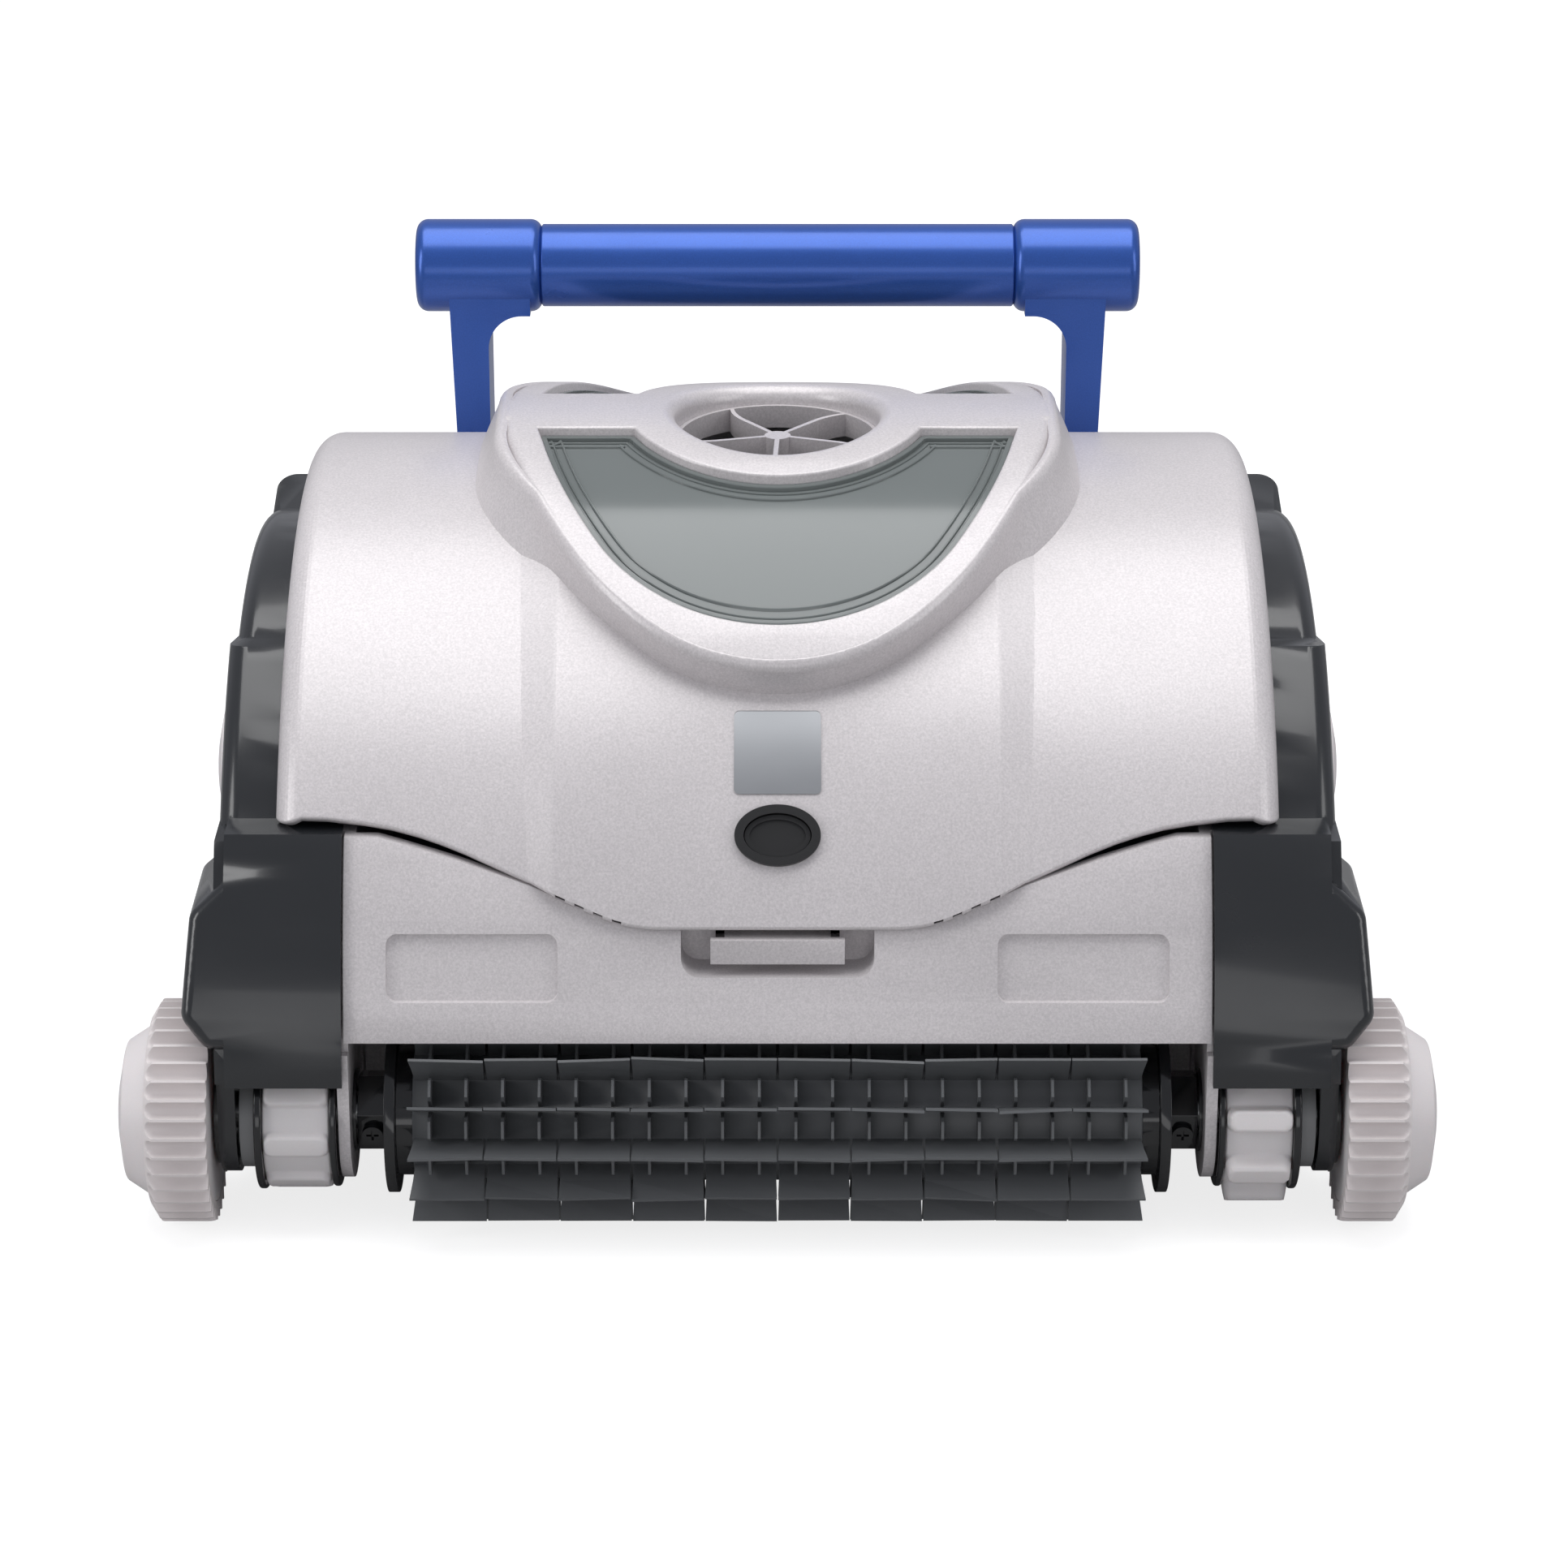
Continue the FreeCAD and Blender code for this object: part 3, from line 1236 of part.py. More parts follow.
def housing_screws():
    """Screws up through the base plate's rim into the tub's floor, heads sunk in the plate."""
    solids = []
    for x, y, tag in SCREW_PLACES:
        shank = rod(f"screw_shank_{tag}", "Z", "base_screw_radius", "floor_z - 1.5", "floor_z + 2.2", x, y)
        head = rod(f"screw_head_{tag}", "Z", "screw_head_radius", "floor_z - 2.3", "floor_z - 1.15", x, y)
        solids.append(joined(f"screw_{tag}", shank, head))
    node("housing_screws", group("screws", *solids))


# ---------------------------------------------------------------- top cover and what it carries

def cover_arch(name, radius, half, edge):
    """Solid of revolution about the arch's line whose side edges are rounded by edge."""
    body = axle_body(
        name,
        [
            (f"-({half})", "100"),
            (half, "100"),
            (half, f"({radius}) - ({edge})", edge),
            (f"({half}) - ({edge})", radius),
            (f"-({half}) + ({edge})", radius, edge),
            (f"-({half})", f"({radius}) - ({edge})"),
        ],
    )
    return bind(body, pz="arch_z")


def plan_frame(name, corners, foot, height):
    """The lid frame's plan outline raised: leaning ends at the front and rear, upright between."""
    lean = math.radians(value("frame_lean"))
    leaning = extruded(
        f"{name}_front", "XY", corners, foot, height, Vector(0, -math.sin(lean), math.cos(lean))
    )
    rear = flipped(f"{name}_rear", leaning, "Y")
    return leaning, rear


def leaning_oval(tip, bends, end):
    """Plan outline from tangent arcs, symmetric in x: each bend is (radius, heading at its end).

    It starts at the tip, at the front of the middle plane, heading along X, and ends in a straight run.
    """
    half = []
    u, v, heading = "0", tip, 0
    for radius, turn in bends:
        half.append((u, v, radius))
        u = f"{u} + {radius} * (sin({turn}) - sin({heading}))"
        v = f"{v} + {radius} * (cos({heading}) - cos({turn}))"
        heading = turn
    half += [(u, v), end]
    image = two_sided(half)[: len(half) - 1]
    return image + half


CREST_OVAL = (96.5, 127, 2.2)  # half lengths and power of an oval close to the lid frame's outline
CREST_LIMIT = 0.86  # an edge further out in that oval than this is on the outline


def lid_frame():
    """Raised frame round both windows and the outlet, standing on the cover's panel."""
    rim = leaning_oval("-107.1", (("60", 45), ("135", 65), ("290", 80)), ("96.2", "60"))
    front, rear = plan_frame("frame_blank", rim, "150", "270")
    blank = shared(
        "frame_solid",
        joined("frame_joined", front, rear),
        arch("frame_top", "frame_radius", 110, "frame_z"),
    )
    window = leaning_oval("-87.5", (("60", 40), ("75", 65), ("260", 80)), ("82", "34"))
    opening, opening_rear = plan_frame("window_hole", window, "150", "270")
    bar = block("frame_bar", (-90, 90), (-19, 19), (140, 240))
    ring = rod("frame_ring", "Z", "ring_outer_radius", 140, 240)
    holes = minus("window_holes", joined("window_hole_pair", opening, opening_rear), bar, ring)
    seat = arch("frame_seat", "panel_radius", 130, "panel_z")
    outlet = rod("frame_outlet", "Z", "outlet_radius", 100, 240)
    sharp = minus("frame_sharp", blank, holes, seat, outlet)

    def rim_size(edge):
        """Fillet size of an edge on top: the outlet's mouth, the outer crest or a window's rim."""
        first, last = edge.ParameterRange
        places = [edge.valueAt(first + step * (last - first) / 4) for step in range(5)]
        top = value("frame_radius")
        if any(abs(math.hypot(p.y, p.z - value("frame_z")) - top) > 0.05 for p in places):
            return None
        middle = places[2]
        if math.hypot(middle.x, middle.y) < value("outlet_radius") + 0.2:
            return "mouth_round"
        outwards = abs(
            middle.x / CREST_OVAL[0]
        ) ** CREST_OVAL[2] + abs(middle.y / CREST_OVAL[1]) ** CREST_OVAL[2]
        return "crest_round" if outwards > CREST_LIMIT else "window_round"

    node("lid_frame", rounded_each("frame", sharp, rim_size))

    pane_outer = arch("pane_outer", "frame_radius - window_sunk", 100, "frame_z")
    pane_inner = arch("pane_inner", "frame_radius - window_sunk - window_thickness", 101, "frame_z")
    pane = shared("pane", minus("pane_sheet", pane_outer, pane_inner), holes)
    for end_name, end in ENDS:
        y_range = (-200, 0) if end < 0 else (0, 200)
        half = block(f"pane_half_{end_name}", (-110, 110), y_range, (100, 250))
        node(f"window_{end_name}", shared(f"pane_{end_name}", pane, half))
    return opening, opening_rear, bar, ring


def top_cover(opening, opening_rear, bar, ring):
    """Arched cover with a raised centre panel, open under the windows and the outlet."""
    outer = cover_arch("cover_outside", "cover_radius", "cover_half", "cover_round")
    panel_profile = [
        ("-panel_foot", "cover_radius - 2.5"),
        ("-panel_foot", "100"),
        ("panel_foot", "100"),
        ("panel_foot", "cover_radius - 2.5"),
        ("panel_half", "panel_radius"),
        ("-panel_half", "panel_radius"),
    ]
    panel = bind(axle_body("cover_panel", panel_profile), pz="panel_z")
    inside = cover_arch(
        "cover_inside", "cover_radius - cover_wall", "cover_half - cover_wall", "cover_round - cover_wall"
    )
    room = rod("cover_room", "X", "120", "-cover_half + cover_wall", "cover_half - cover_wall", 0, "arch_z")
    core = rod("cover_core", "X", "skirt_radius", "-cover_half - 5", "cover_half + 5", 0, "arch_z")
    shrink = minus("cover_windows", joined("cover_window_pair", opening, opening_rear), bar, ring)
    eye = doc.addObject("Part::Ellipse", "eye_line")
    bind(eye, MajorRadius="bezel_long - 1.4", MinorRadius="bezel_short - 1.4")
    eye_hole = doc.addObject("Part::Extrusion", "eye")
    eye_hole.Base = eye
    eye_hole.DirMode = "Custom"
    eye_hole.Dir = Vector(0, 0, 1)
    eye_hole.Solid = True
    eye_hole.LengthFwd = 40
    eye_hole.LengthRev = 40
    eye_group = on_button(group("eye_placed", eye_hole))
    slots = []
    for end_name, end in ENDS:
        y_range = (-200, 0) if end < 0 else (0, 200)
        for side in (-1, 1):
            for number in range(4):
                inner = 50 + 6 * number
                xs = (side * inner, side * (inner + 3.4))
                tag = f"vent_{end_name}_{'left' if side < 0 else 'right'}_{number}"
                drop = 110.6 + 2.4 * number
                slots.append(block(tag, (min(xs), max(xs)), y_range, (drop, drop + 1.2)))
    knuckles = []
    for side in (-1, 1):
        low, high = ("51.4", "68.6") if side > 0 else ("-68.6", "-51.4")
        tag = f"knuckle_{'right' if side > 0 else 'left'}"
        knuckles.append(
            block(f"{tag}_riser", (low, high), (168.5, "hinge_y + 4"), ("hinge_z", "hinge_z + 19"))
        )
        knuckles.append(
            block(f"{tag}_arm", (low, high), (152, "hinge_y + 4"), ("hinge_z + 15.5", "hinge_z + 20"))
        )
        knuckles.append(rod(f"{tag}_end", "X", "hinge_radius", low, high, "hinge_y", "hinge_z"))
    shell = minus(
        "cover_shell", joined(
            "cover_solid", outer, panel
        ), inside, room, core, seam("below_seam", True, "0")
    )
    whole = joined("cover_whole", shell, *knuckles)
    pin = rod("knuckle_bore", "X", "pin_radius + 0.05", -80, 80, "hinge_y", "hinge_z")
    outlet = rod("cover_outlet", "Z", "outlet_radius + 2", 100, 240)
    holes = arm_screw_rods("cover_hole", "arm_screw_radius + 0.1", "170", "186")
    node("top_cover", minus("cover", whole, shrink, eye_group, pin, outlet, *holes, *slots))


def on_button(solid):
    """Place a part made about local Z on the release button's axis."""
    solid.Placement = FreeCAD.Placement(Vector(), FreeCAD.Rotation(Vector(1, 0, 0), value("button_tilt")))
    return bind(solid, py="-button_y", pz="button_z")


def outlet_grille():
    """Five curved vanes from a small hub to a thin rim inside the outlet."""
    rim = minus(
        "grille_rim",
        rod("grille_rim_outside", "Z", "outlet_radius - 0.1", "vane_top_z - vane_height", "vane_top_z"),
        rod("grille_rim_inside", "Z", "outlet_radius - 1.6", 200, 230),
    )
    hub = rod("grille_hub", "Z", "4.5", "vane_top_z - vane_height", "vane_top_z")
    parts = [rim, hub]
    for number in range(5):
        outline = [
            ("2", "-vane_thickness / 2"),
            ("22", "-vane_thickness / 2", "-26"),
            ("outlet_radius - 1", "-4.6"),
            ("outlet_radius - 1", "-4.6 + vane_thickness", "25"),
            ("22", "vane_thickness / 2"),
            ("2", "vane_thickness / 2"),
        ]
        vane = extruded(f"vane_{number}", "XY", outline, "vane_top_z - vane_height", "vane_top_z")
        holder = group(f"vane_turned_{number}", vane)
        holder.Placement = FreeCAD.Placement(Vector(), FreeCAD.Rotation(Vector(0, 0, 1), 52 + 72 * number))
        parts.append(holder)
    node("outlet_grille", joined("grille", *parts))


def badge_plate():
    """Plain square plate that follows the panel."""
    sheet = minus(
        "badge_sheet", arch(
            "badge_outer", "panel_radius + 0.9", "badge_half", "panel_z"
        ), arch("badge_inner", "panel_radius", 20, "panel_z")
    )
    window = rounded(
        "badge_window",
        block("badge_block", ("-badge_half", "badge_half"), (-160, -100), ("badge_low_z", "badge_high_z")),
        "1.5",
        along("Y"),
    )
    node("badge_plate", shared("badge", sheet, window))


def oval(name, long, short, low, high):
    """Elliptical prism about the local Z axis."""
    line = doc.addObject("Part::Ellipse", f"{name}_line")
    bind(line, MajorRadius=long, MinorRadius=short, pz=low)
    solid = doc.addObject("Part::Extrusion", name)
    solid.Base = line
    solid.DirMode = "Custom"
    solid.Dir = Vector(0, 0, 1)
    solid.Solid = True
    return bind(solid, LengthFwd=f"({high}) - ({low})")


def release_button_parts():
    """Bezel with its cup, the button that slides in it, the return spring and the latch tongue."""
    cup = joined(
        "bezel_whole",
        oval("bezel_rim", "bezel_long", "bezel_short", "0.2", "2.2"),
        oval("bezel_cup", "bezel_long - 1.5", "bezel_short - 1.5", "-20", "0.5"),
    )
    bezel = minus("bezel", cup, oval("bezel_room", "button_long + 0.3", "button_short + 0.3", "-18.5", "5"))
    node("button_bezel", on_button(bezel))
    button = minus(
        "button",
        oval("button_solid", "button_long", "button_short", "-8", "0.8"),
        oval("button_dish", "button_long - 1.6", "button_short - 1.6", "0", "2"),
    )
    node("release_button", on_button(button))
    line = doc.addObject("Part::Helix", "spring_line")
    line.Pitch = 2.4
    line.Height = 9.1
    line.Radius = 3.6
    wire = doc.addObject("Part::Circle", "spring_wire")
    wire.Radius = 0.4
    wire.Placement = FreeCAD.Placement(Vector(3.6, 0, 0), FreeCAD.Rotation(Vector(1, 0, 0), 90))
    coil = doc.addObject("Part::Sweep", "spring_coil")
    coil.Sections = [wire]
    coil.Spine = (line, [])
    coil.Solid = True
    coil.Frenet = True
    lifted = group("spring_lifted", coil)
    lifted.Placement = FreeCAD.Placement(Vector(0, 0, -17.8), FreeCAD.Rotation())
    node("button_spring", on_button(group("spring", lifted)))
    high = "seam_low_z - 2.9"
    front = "-latch_y - 11.6"
    tongue = joined(
        "tongue",
        block(
            "tongue_plate",
            ("-tongue_half", "tongue_half"),
            ("-latch_y - 14", front),
            ("tongue_low_z", high),
        ),
        block("tongue_neck", (-17, 17), ("-latch_y - 12", "-latch_y + 1.2"), (f"{high} - 3", high)),
        block("tongue_web", (-12, 12), ("-latch_y - 1.2", "-latch_y + 1.2"), (f"{high} - 3", "latch_z")),
        rod("tongue_pin", "X", "1.5", -18, 18, "-latch_y", "latch_z"),
    )
    node("latch_tongue", tongue)


def arm_screw_rods(name, radius, start, stop):
    """Two rods into each handle arm, square to the cover, between two distances from the arch's line."""
    rods = []
    for side_name, side in SIDES:
        for number, lean in enumerate((27.5, 32.5)):
            straight = rod(f"{name}_{side_name}_{number}", "Z", radius, start, stop)
            turned = group(f"{name}_{side_name}_{number}_turned", straight)
            turned.Placement = FreeCAD.Placement(Vector(), FreeCAD.Rotation(Vector(1, 0, 0), -lean))
            rods.append(bind(turned, px=f"{side} * (arm_inner_x + arm_foot_x) / 2", pz="arch_z"))
    return rods


def handle():
    """Grip bar between two sleeves, each on an arm that stands on the rear of the cover."""
    seat = arch("arm_seat", "cover_radius", 140)
    bore = rod("grip_socket", "X", "grip_radius - 3", "-200", "200", "grip_y", "grip_z")
    outline = [
        ("arm_inner_x", "150"),
        ("arm_foot_x", "150"),
        ("arm_outer_x", "grip_z"),
        ("sleeve_inner_x + 4", "grip_z"),
        ("sleeve_inner_x + 4", "grip_z - sleeve_radius + 1.5"),
        ("arm_inner_x - 12", "grip_z - sleeve_radius + 1.5", "-12"),
        ("arm_inner_x", "grip_z - sleeve_radius - 10.5"),
    ]
    y_range = ("grip_y - arm_half_y", "grip_y + arm_half_y")
    sleeve = rounded(
        "sleeve",
        rod("sleeve_rod", "X", "sleeve_radius", "sleeve_inner_x", "sleeve_outer_x", "grip_y", "grip_z"),
        "4",
        lambda edge: edge.Curve.TypeId == "Part::GeomCircle",
    )
    arm = extruded("arm_bar", "XZ", outline, *y_range)
    holes = arm_screw_rods("arm_hole", "arm_screw_radius + 0.1", "170", "186")
    right = minus("arm_right", joined("arm_whole", sleeve, arm), seat, bore, *holes)
    node("handle_arm_right", right)
    node("handle_arm_left", flipped("arm_left", right, "X"))
    grip = joined(
        "grip",
        rod("grip_bar", "X", "grip_radius", "-sleeve_inner_x", "sleeve_inner_x", "grip_y", "grip_z"),
        rod(
            "grip_core",
            "X",
            "grip_radius - 3",
            "-sleeve_outer_x + 3",
            "sleeve_outer_x - 3",
            "grip_y",
            "grip_z",
        ),
    )
    node("handle_grip", grip)
    shanks = arm_screw_rods("arm_screw_shank", "arm_screw_radius", "172.9", "185")
    heads = arm_screw_rods(
        "arm_screw_head", "screw_head_radius", "172.3", "cover_radius - cover_wall - 0.35"
    )
    node(
        "handle_screws",
        group(
            "arm_screws", *[joined(f"arm_screw_{n}", *pair) for n, pair in enumerate(zip(shanks, heads))]
        ),
    )


def hinge_pins():
    """Steel pins of the cover hinge, pressed into the housing's lugs."""
    pin = rod("hinge_pin", "X", "pin_radius", 44.5, 75.5, "hinge_y", "hinge_z")
    node("hinge_pins", both("hinge_pin_pair", pin, "X"))


# ---------------------------------------------------------------- making and writing

lower_housing()
base_plate()
side_covers()
motor_casing()
pump()
filters()
cable_gland()
housing_screws()
axle_bushes()
drive_belts()
drive_shaft()
top_cover(*lid_frame())
outlet_grille()
badge_plate()
release_button_parts()
handle()
hinge_pins()
for end_name, end in ENDS:
    inlet_flap(end_name, end)
    axle_shaft(end_name, end)
    brush_core(end_name, end)
    brush_fins(end_name, end)
    coupler_screws(end_name, end)
    bump_spools(end_name, end)
    wheel_hubs(end_name, end)
    for side_name, side in SIDES:
        bump_ring(end_name, end, side_name, side)
        tyre(end_name, end, side_name, side)

doc.recompute()
failed = [item.Name for item in doc.Objects if {"Invalid", "Error"} & set(item.State)]
if failed:
    raise RuntimeError(f"failed objects: {failed}")
for item in nodes:
    if item.Shape.isNull() or not item.Shape.isValid() or not item.Shape.Solids:
        raise RuntimeError(f"bad shape: {item.Label}")

os.makedirs("parts", exist_ok=True)
for item in nodes:
    item.Shape.exportStep(os.path.join("parts", f"{item.Label}.step"))
print(len(nodes), "nodes written")
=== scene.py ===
"""A robotic pool cleaner: pearl grey shells, charcoal side covers, two finned brush axles, blue handle."""
import math

import bmesh
import bpy
import numpy as np
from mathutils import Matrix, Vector


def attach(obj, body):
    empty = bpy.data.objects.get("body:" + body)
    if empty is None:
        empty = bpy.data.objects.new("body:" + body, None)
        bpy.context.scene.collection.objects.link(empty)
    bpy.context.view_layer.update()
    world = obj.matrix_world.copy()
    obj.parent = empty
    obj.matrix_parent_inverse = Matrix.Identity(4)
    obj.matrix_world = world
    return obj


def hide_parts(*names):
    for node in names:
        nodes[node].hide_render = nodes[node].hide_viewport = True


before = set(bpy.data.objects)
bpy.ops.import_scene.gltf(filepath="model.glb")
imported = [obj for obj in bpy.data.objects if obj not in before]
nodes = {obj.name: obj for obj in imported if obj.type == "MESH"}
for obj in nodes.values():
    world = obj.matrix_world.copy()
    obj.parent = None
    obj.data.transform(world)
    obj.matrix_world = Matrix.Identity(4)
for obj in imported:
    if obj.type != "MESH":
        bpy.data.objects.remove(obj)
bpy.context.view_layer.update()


# ------------------------------------------------------------ studio
# A long lens a little above the machine, white paper under it, one large soft ceiling light,
# a weaker soft box on each side and a low fill in front.

def linear(hex_colour):
    """sRGB hex to linear RGBA: c / 12.92 up to 0.04045, above that ((c + 0.055) / 1.055) to the power 2.4."""
    parts = [int(hex_colour[i:i + 2], 16) / 255 for i in (1, 3, 5)]
    return [c / 12.92 if c <= 0.04045 else ((c + 0.055) / 1.055) ** 2.4 for c in parts] + [1.0]


def add(tree, kind, settings=None, inputs=None, **links):
    """Add one node: settings are its own choices, inputs its socket values, links what feeds its sockets."""
    item = tree.nodes.new(kind)
    for name, choice in (settings or {}).items():
        setattr(item, name, choice)
    for name, number in (inputs or {}).items():
        item.inputs[name].default_value = number
    for name, source in links.items():
        tree.links.new(source, item.inputs[name.replace("_", " ")])
    return item


def soft_box(name, place, aim, width, height, power):
    """A rectangular area light at place, turned to face aim."""
    data = bpy.data.lights.new(name, "AREA")
    data.shape = "RECTANGLE"
    data.size, data.size_y = width, height
    data.energy = power
    lamp = bpy.data.objects.new(name, data)
    bpy.context.scene.collection.objects.link(lamp)
    lamp.location = place
    lamp.rotation_euler = (Vector(aim) - Vector(place)).to_track_quat("-Z", "Y").to_euler()


PITCH = 22.0  # degrees the camera looks down
PAPER_HALF = 8
lens = bpy.data.cameras.new("camera")
lens.lens, lens.sensor_width, lens.shift_x = 110.87, 36.0, 0.0041
lens.clip_start, lens.clip_end = 0.05, 30
camera = bpy.data.objects.new("camera", lens)
bpy.context.scene.collection.objects.link(camera)
camera.location = (0, -1.579, 0.728)
camera.rotation_euler = (math.radians(90 - PITCH), 0, 0)
bpy.context.scene.camera = camera

paper_mesh = bpy.data.meshes.new("paper")
paper_corners = [(x * PAPER_HALF, y * PAPER_HALF, 0) for x, y in ((-1, -1), (1, -1), (1, 1), (-1, 1))]
paper_mesh.from_pydata(paper_corners, [], [(0, 1, 2, 3)])
paper = bpy.data.objects.new("paper", paper_mesh)
bpy.context.scene.collection.objects.link(paper)
# Matt white paper with a little glow of its own, so that it stays white without lighting the machine.
paper_white = bpy.data.materials.new("white_paper")
paper_white.use_nodes = True
tree = paper_white.node_tree
tree.nodes.remove(tree.nodes["Principled BSDF"])
seen = add(tree, "ShaderNodeLightPath").outputs["Is Camera Ray"]
glow = add(tree, "ShaderNodeEmission", inputs={"Color": linear("#ffffff"), "Strength": 0.80})
matt = add(tree, "ShaderNodeBsdfDiffuse", inputs={"Color": [0.40, 0.40, 0.40, 1]})
bright = add(tree, "ShaderNodeAddShader")
tree.links.new(glow.outputs[0], bright.inputs[0])
tree.links.new(matt.outputs[0], bright.inputs[1])
choice = add(tree, "ShaderNodeMixShader", Fac=seen)
tree.links.new(matt.outputs[0], choice.inputs[1])
tree.links.new(bright.outputs[0], choice.inputs[2])
tree.links.new(choice.outputs[0], tree.nodes["Material Output"].inputs["Surface"])
paper_mesh.materials.append(paper_white)

world = bpy.data.worlds.new("studio")
world.use_nodes = True
world.node_tree.nodes["Background"].inputs["Color"].default_value = linear("#f4f6ff")
world.node_tree.nodes["Background"].inputs["Strength"].default_value = 0.40
bpy.context.scene.world = world
soft_box("ceiling", (0, 0.10, 1.7), (0, -0.05, 0.1), 1.8, 1.5, 24)
soft_box("left", (-1.5, -0.7, 0.7), (0, 0, 0.12), 0.5, 1.2, 8)
soft_box("right", (1.5, -0.7, 0.7), (0, 0, 0.12), 0.5, 1.2, 5)
soft_box("front", (0, -2.6, 0.35), (0, -0.1, 0.05), 1.8, 0.6, 4)
bpy.context.scene.view_settings.view_transform = "Standard"


# ------------------------------------------------------------ top cover
# One arched moulding in pearl ABS with a raised centre panel, thin mica flake in the resin, hinged at
# the rear. Its bottom edge rises from the middle to the sides, with four short vent slits on each side.

def finish(name, colour, roughness, grain_mm=0.5, grain_height=0.02, flake=0.0, drift=0.03, sockets=None):
    """A moulded or coated surface: a base colour that drifts a little, uneven gloss, fine grain, and flake.

    The grain is noise about grain_mm across; flake is how far bright specks of the same size lift the colour.
    """
    material = bpy.data.materials.new(name)
    material.use_nodes = True
    tree = material.node_tree
    shader = tree.nodes["Principled BSDF"]
    place = add(tree, "ShaderNodeTexCoord").outputs["Object"]
    slow = add(tree, "ShaderNodeTexNoise", inputs={"Scale": 14.0, "Detail": 3.0}, Vector=place)
    tones = {"From Min": 0.3, "From Max": 0.7, "To Min": 1 - drift, "To Max": 1 + drift}
    tone = add(tree, "ShaderNodeMapRange", inputs=tones, Value=slow.outputs["Fac"])
    grain = {"Scale": 1000 / grain_mm, "Detail": 2.0, "Roughness": 0.7}
    speck = add(tree, "ShaderNodeTexNoise", inputs=grain, Vector=place)
    lifts = {"From Min": 0.35, "From Max": 0.75, "To Min": 1 - flake, "To Max": 1 + 1.5 * flake}
    sparkle = add(tree, "ShaderNodeMapRange", inputs=lifts, Value=speck.outputs["Fac"])
    both = add(tree, "ShaderNodeMath", {"operation": "MULTIPLY"})
    tree.links.new(tone.outputs["Result"], both.inputs[0])
    tree.links.new(sparkle.outputs["Result"], both.inputs[1])
    mixed = add(tree, "ShaderNodeVectorMath", {"operation": "SCALE"}, Scale=both.outputs[0])
    mixed.inputs[0].default_value = linear(colour)[:3]
    tree.links.new(mixed.outputs[0], shader.inputs["Base Color"])
    wear = add(tree, "ShaderNodeTexNoise", inputs={"Scale": 45.0, "Detail": 4.0}, Vector=place)
    gloss_range = {"To Min": max(0.03, roughness - 0.06), "To Max": roughness + 0.06}
    gloss = add(tree, "ShaderNodeMapRange", inputs=gloss_range, Value=wear.outputs["Fac"])
    tree.links.new(gloss.outputs["Result"], shader.inputs["Roughness"])
    height = {"Strength": 0.5, "Distance": grain_height / 1000}
    bump = add(tree, "ShaderNodeBump", inputs=height, Height=speck.outputs["Fac"])
    tree.links.new(bump.outputs["Normal"], shader.inputs["Normal"])
    for socket, number in (sockets or {}).items():
        shader.inputs[socket].default_value = number
    return material


# Injection-moulded ABS with mica: warm light grey, satin, with a thin even sparkle.
pearl = finish(
    "pearl_abs", "#cfcacb", 0.34, 0.8, 0.06, flake=0.095,
    sockets={"Metallic": 0.12, "Coat Weight": 0.2, "Coat Roughness": 0.3},
)


def piece(name, points, faces, material, body, *replaced):
    """A mesh object from an array of points and an array of faces, riding on a body in place of CAD nodes."""
    mesh = bpy.data.meshes.new(name)
    mesh.from_pydata(np.asarray(points, dtype=float).tolist(), [], [list(face) for face in faces])
    mesh.update()
    mesh.polygons.foreach_set("use_smooth", [True] * len(mesh.polygons))
    mesh.materials.append(material)
    item = bpy.data.objects.new(name, mesh)
    bpy.context.scene.collection.objects.link(item)
    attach(item, body)
    if replaced:
        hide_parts(*replaced)
    return item


def cells(rows, columns, wrap_rows=False, wrap_columns=False):
    """Quads of a grid of points numbered row by row; a wrapped direction joins its last line to its first."""
    row, column = np.arange(rows - (not wrap_rows)), np.arange(columns - (not wrap_columns))
    i, j = np.meshgrid(row, column, indexing="ij")
    i2, j2 = (i + 1) % rows, (j + 1) % columns
    corners = [i * columns + j, i * columns + j2, i2 * columns + j2, i2 * columns + j]
    return np.stack(corners, axis=-1).reshape(-1, 4)


def walled(outside, inside, keep):
    """Points and faces of a wall between two equal grids: kept cells on both, a strip round every edge."""
    rows, columns = outside.shape[:2]
    count = rows * columns
    points = np.concatenate([outside.reshape(-1, 3), inside.reshape(-1, 3)])
    quads = cells(rows, columns)[keep.ravel()]
    edges = np.concatenate([quads[:, [k, (k + 1) % 4]] for k in range(4)])
    key = edges[:, 0].astype(np.int64) * count + edges[:, 1]
    back = edges[:, 1].astype(np.int64) * count + edges[:, 0]
    rim = edges[~np.isin(key, back)]
    strips = np.stack([rim[:, 1], rim[:, 0], rim[:, 0] + count, rim[:, 1] + count], axis=-1)
    faces = np.concatenate([quads, quads[:, ::-1] + count, strips])
    used, numbers = np.unique(faces, return_inverse=True)
    return points[used], numbers.reshape(faces.shape)


def normals(grid):
    """Unit normals of a grid of points: the cross product of its two gradients."""
    n = np.cross(np.gradient(grid, axis=1), np.gradient(grid, axis=0))
    return n / np.linalg.norm(n, axis=-1, keepdims=True)


ARCH_Z = 0.031
COVER_RADIUS, COVER_HALF, COVER_ROUND, COVER_WALL, SKIRT_RADIUS = 0.180, 0.162, 0.009, 0.003, 0.172
LATCH_WALL = 0.0012  # thinner over the latch, which swings up behind it
COVER_FLAT = COVER_HALF - COVER_ROUND
SKIRT_TURN = math.acos((SKIRT_RADIUS - COVER_RADIUS + COVER_ROUND) / COVER_ROUND)
PANEL_HALF, PANEL_FOOT_LOW, PANEL_FOOT_HIGH = 0.072, 0.080, 0.085
EDGE_ROUND = 0.0014


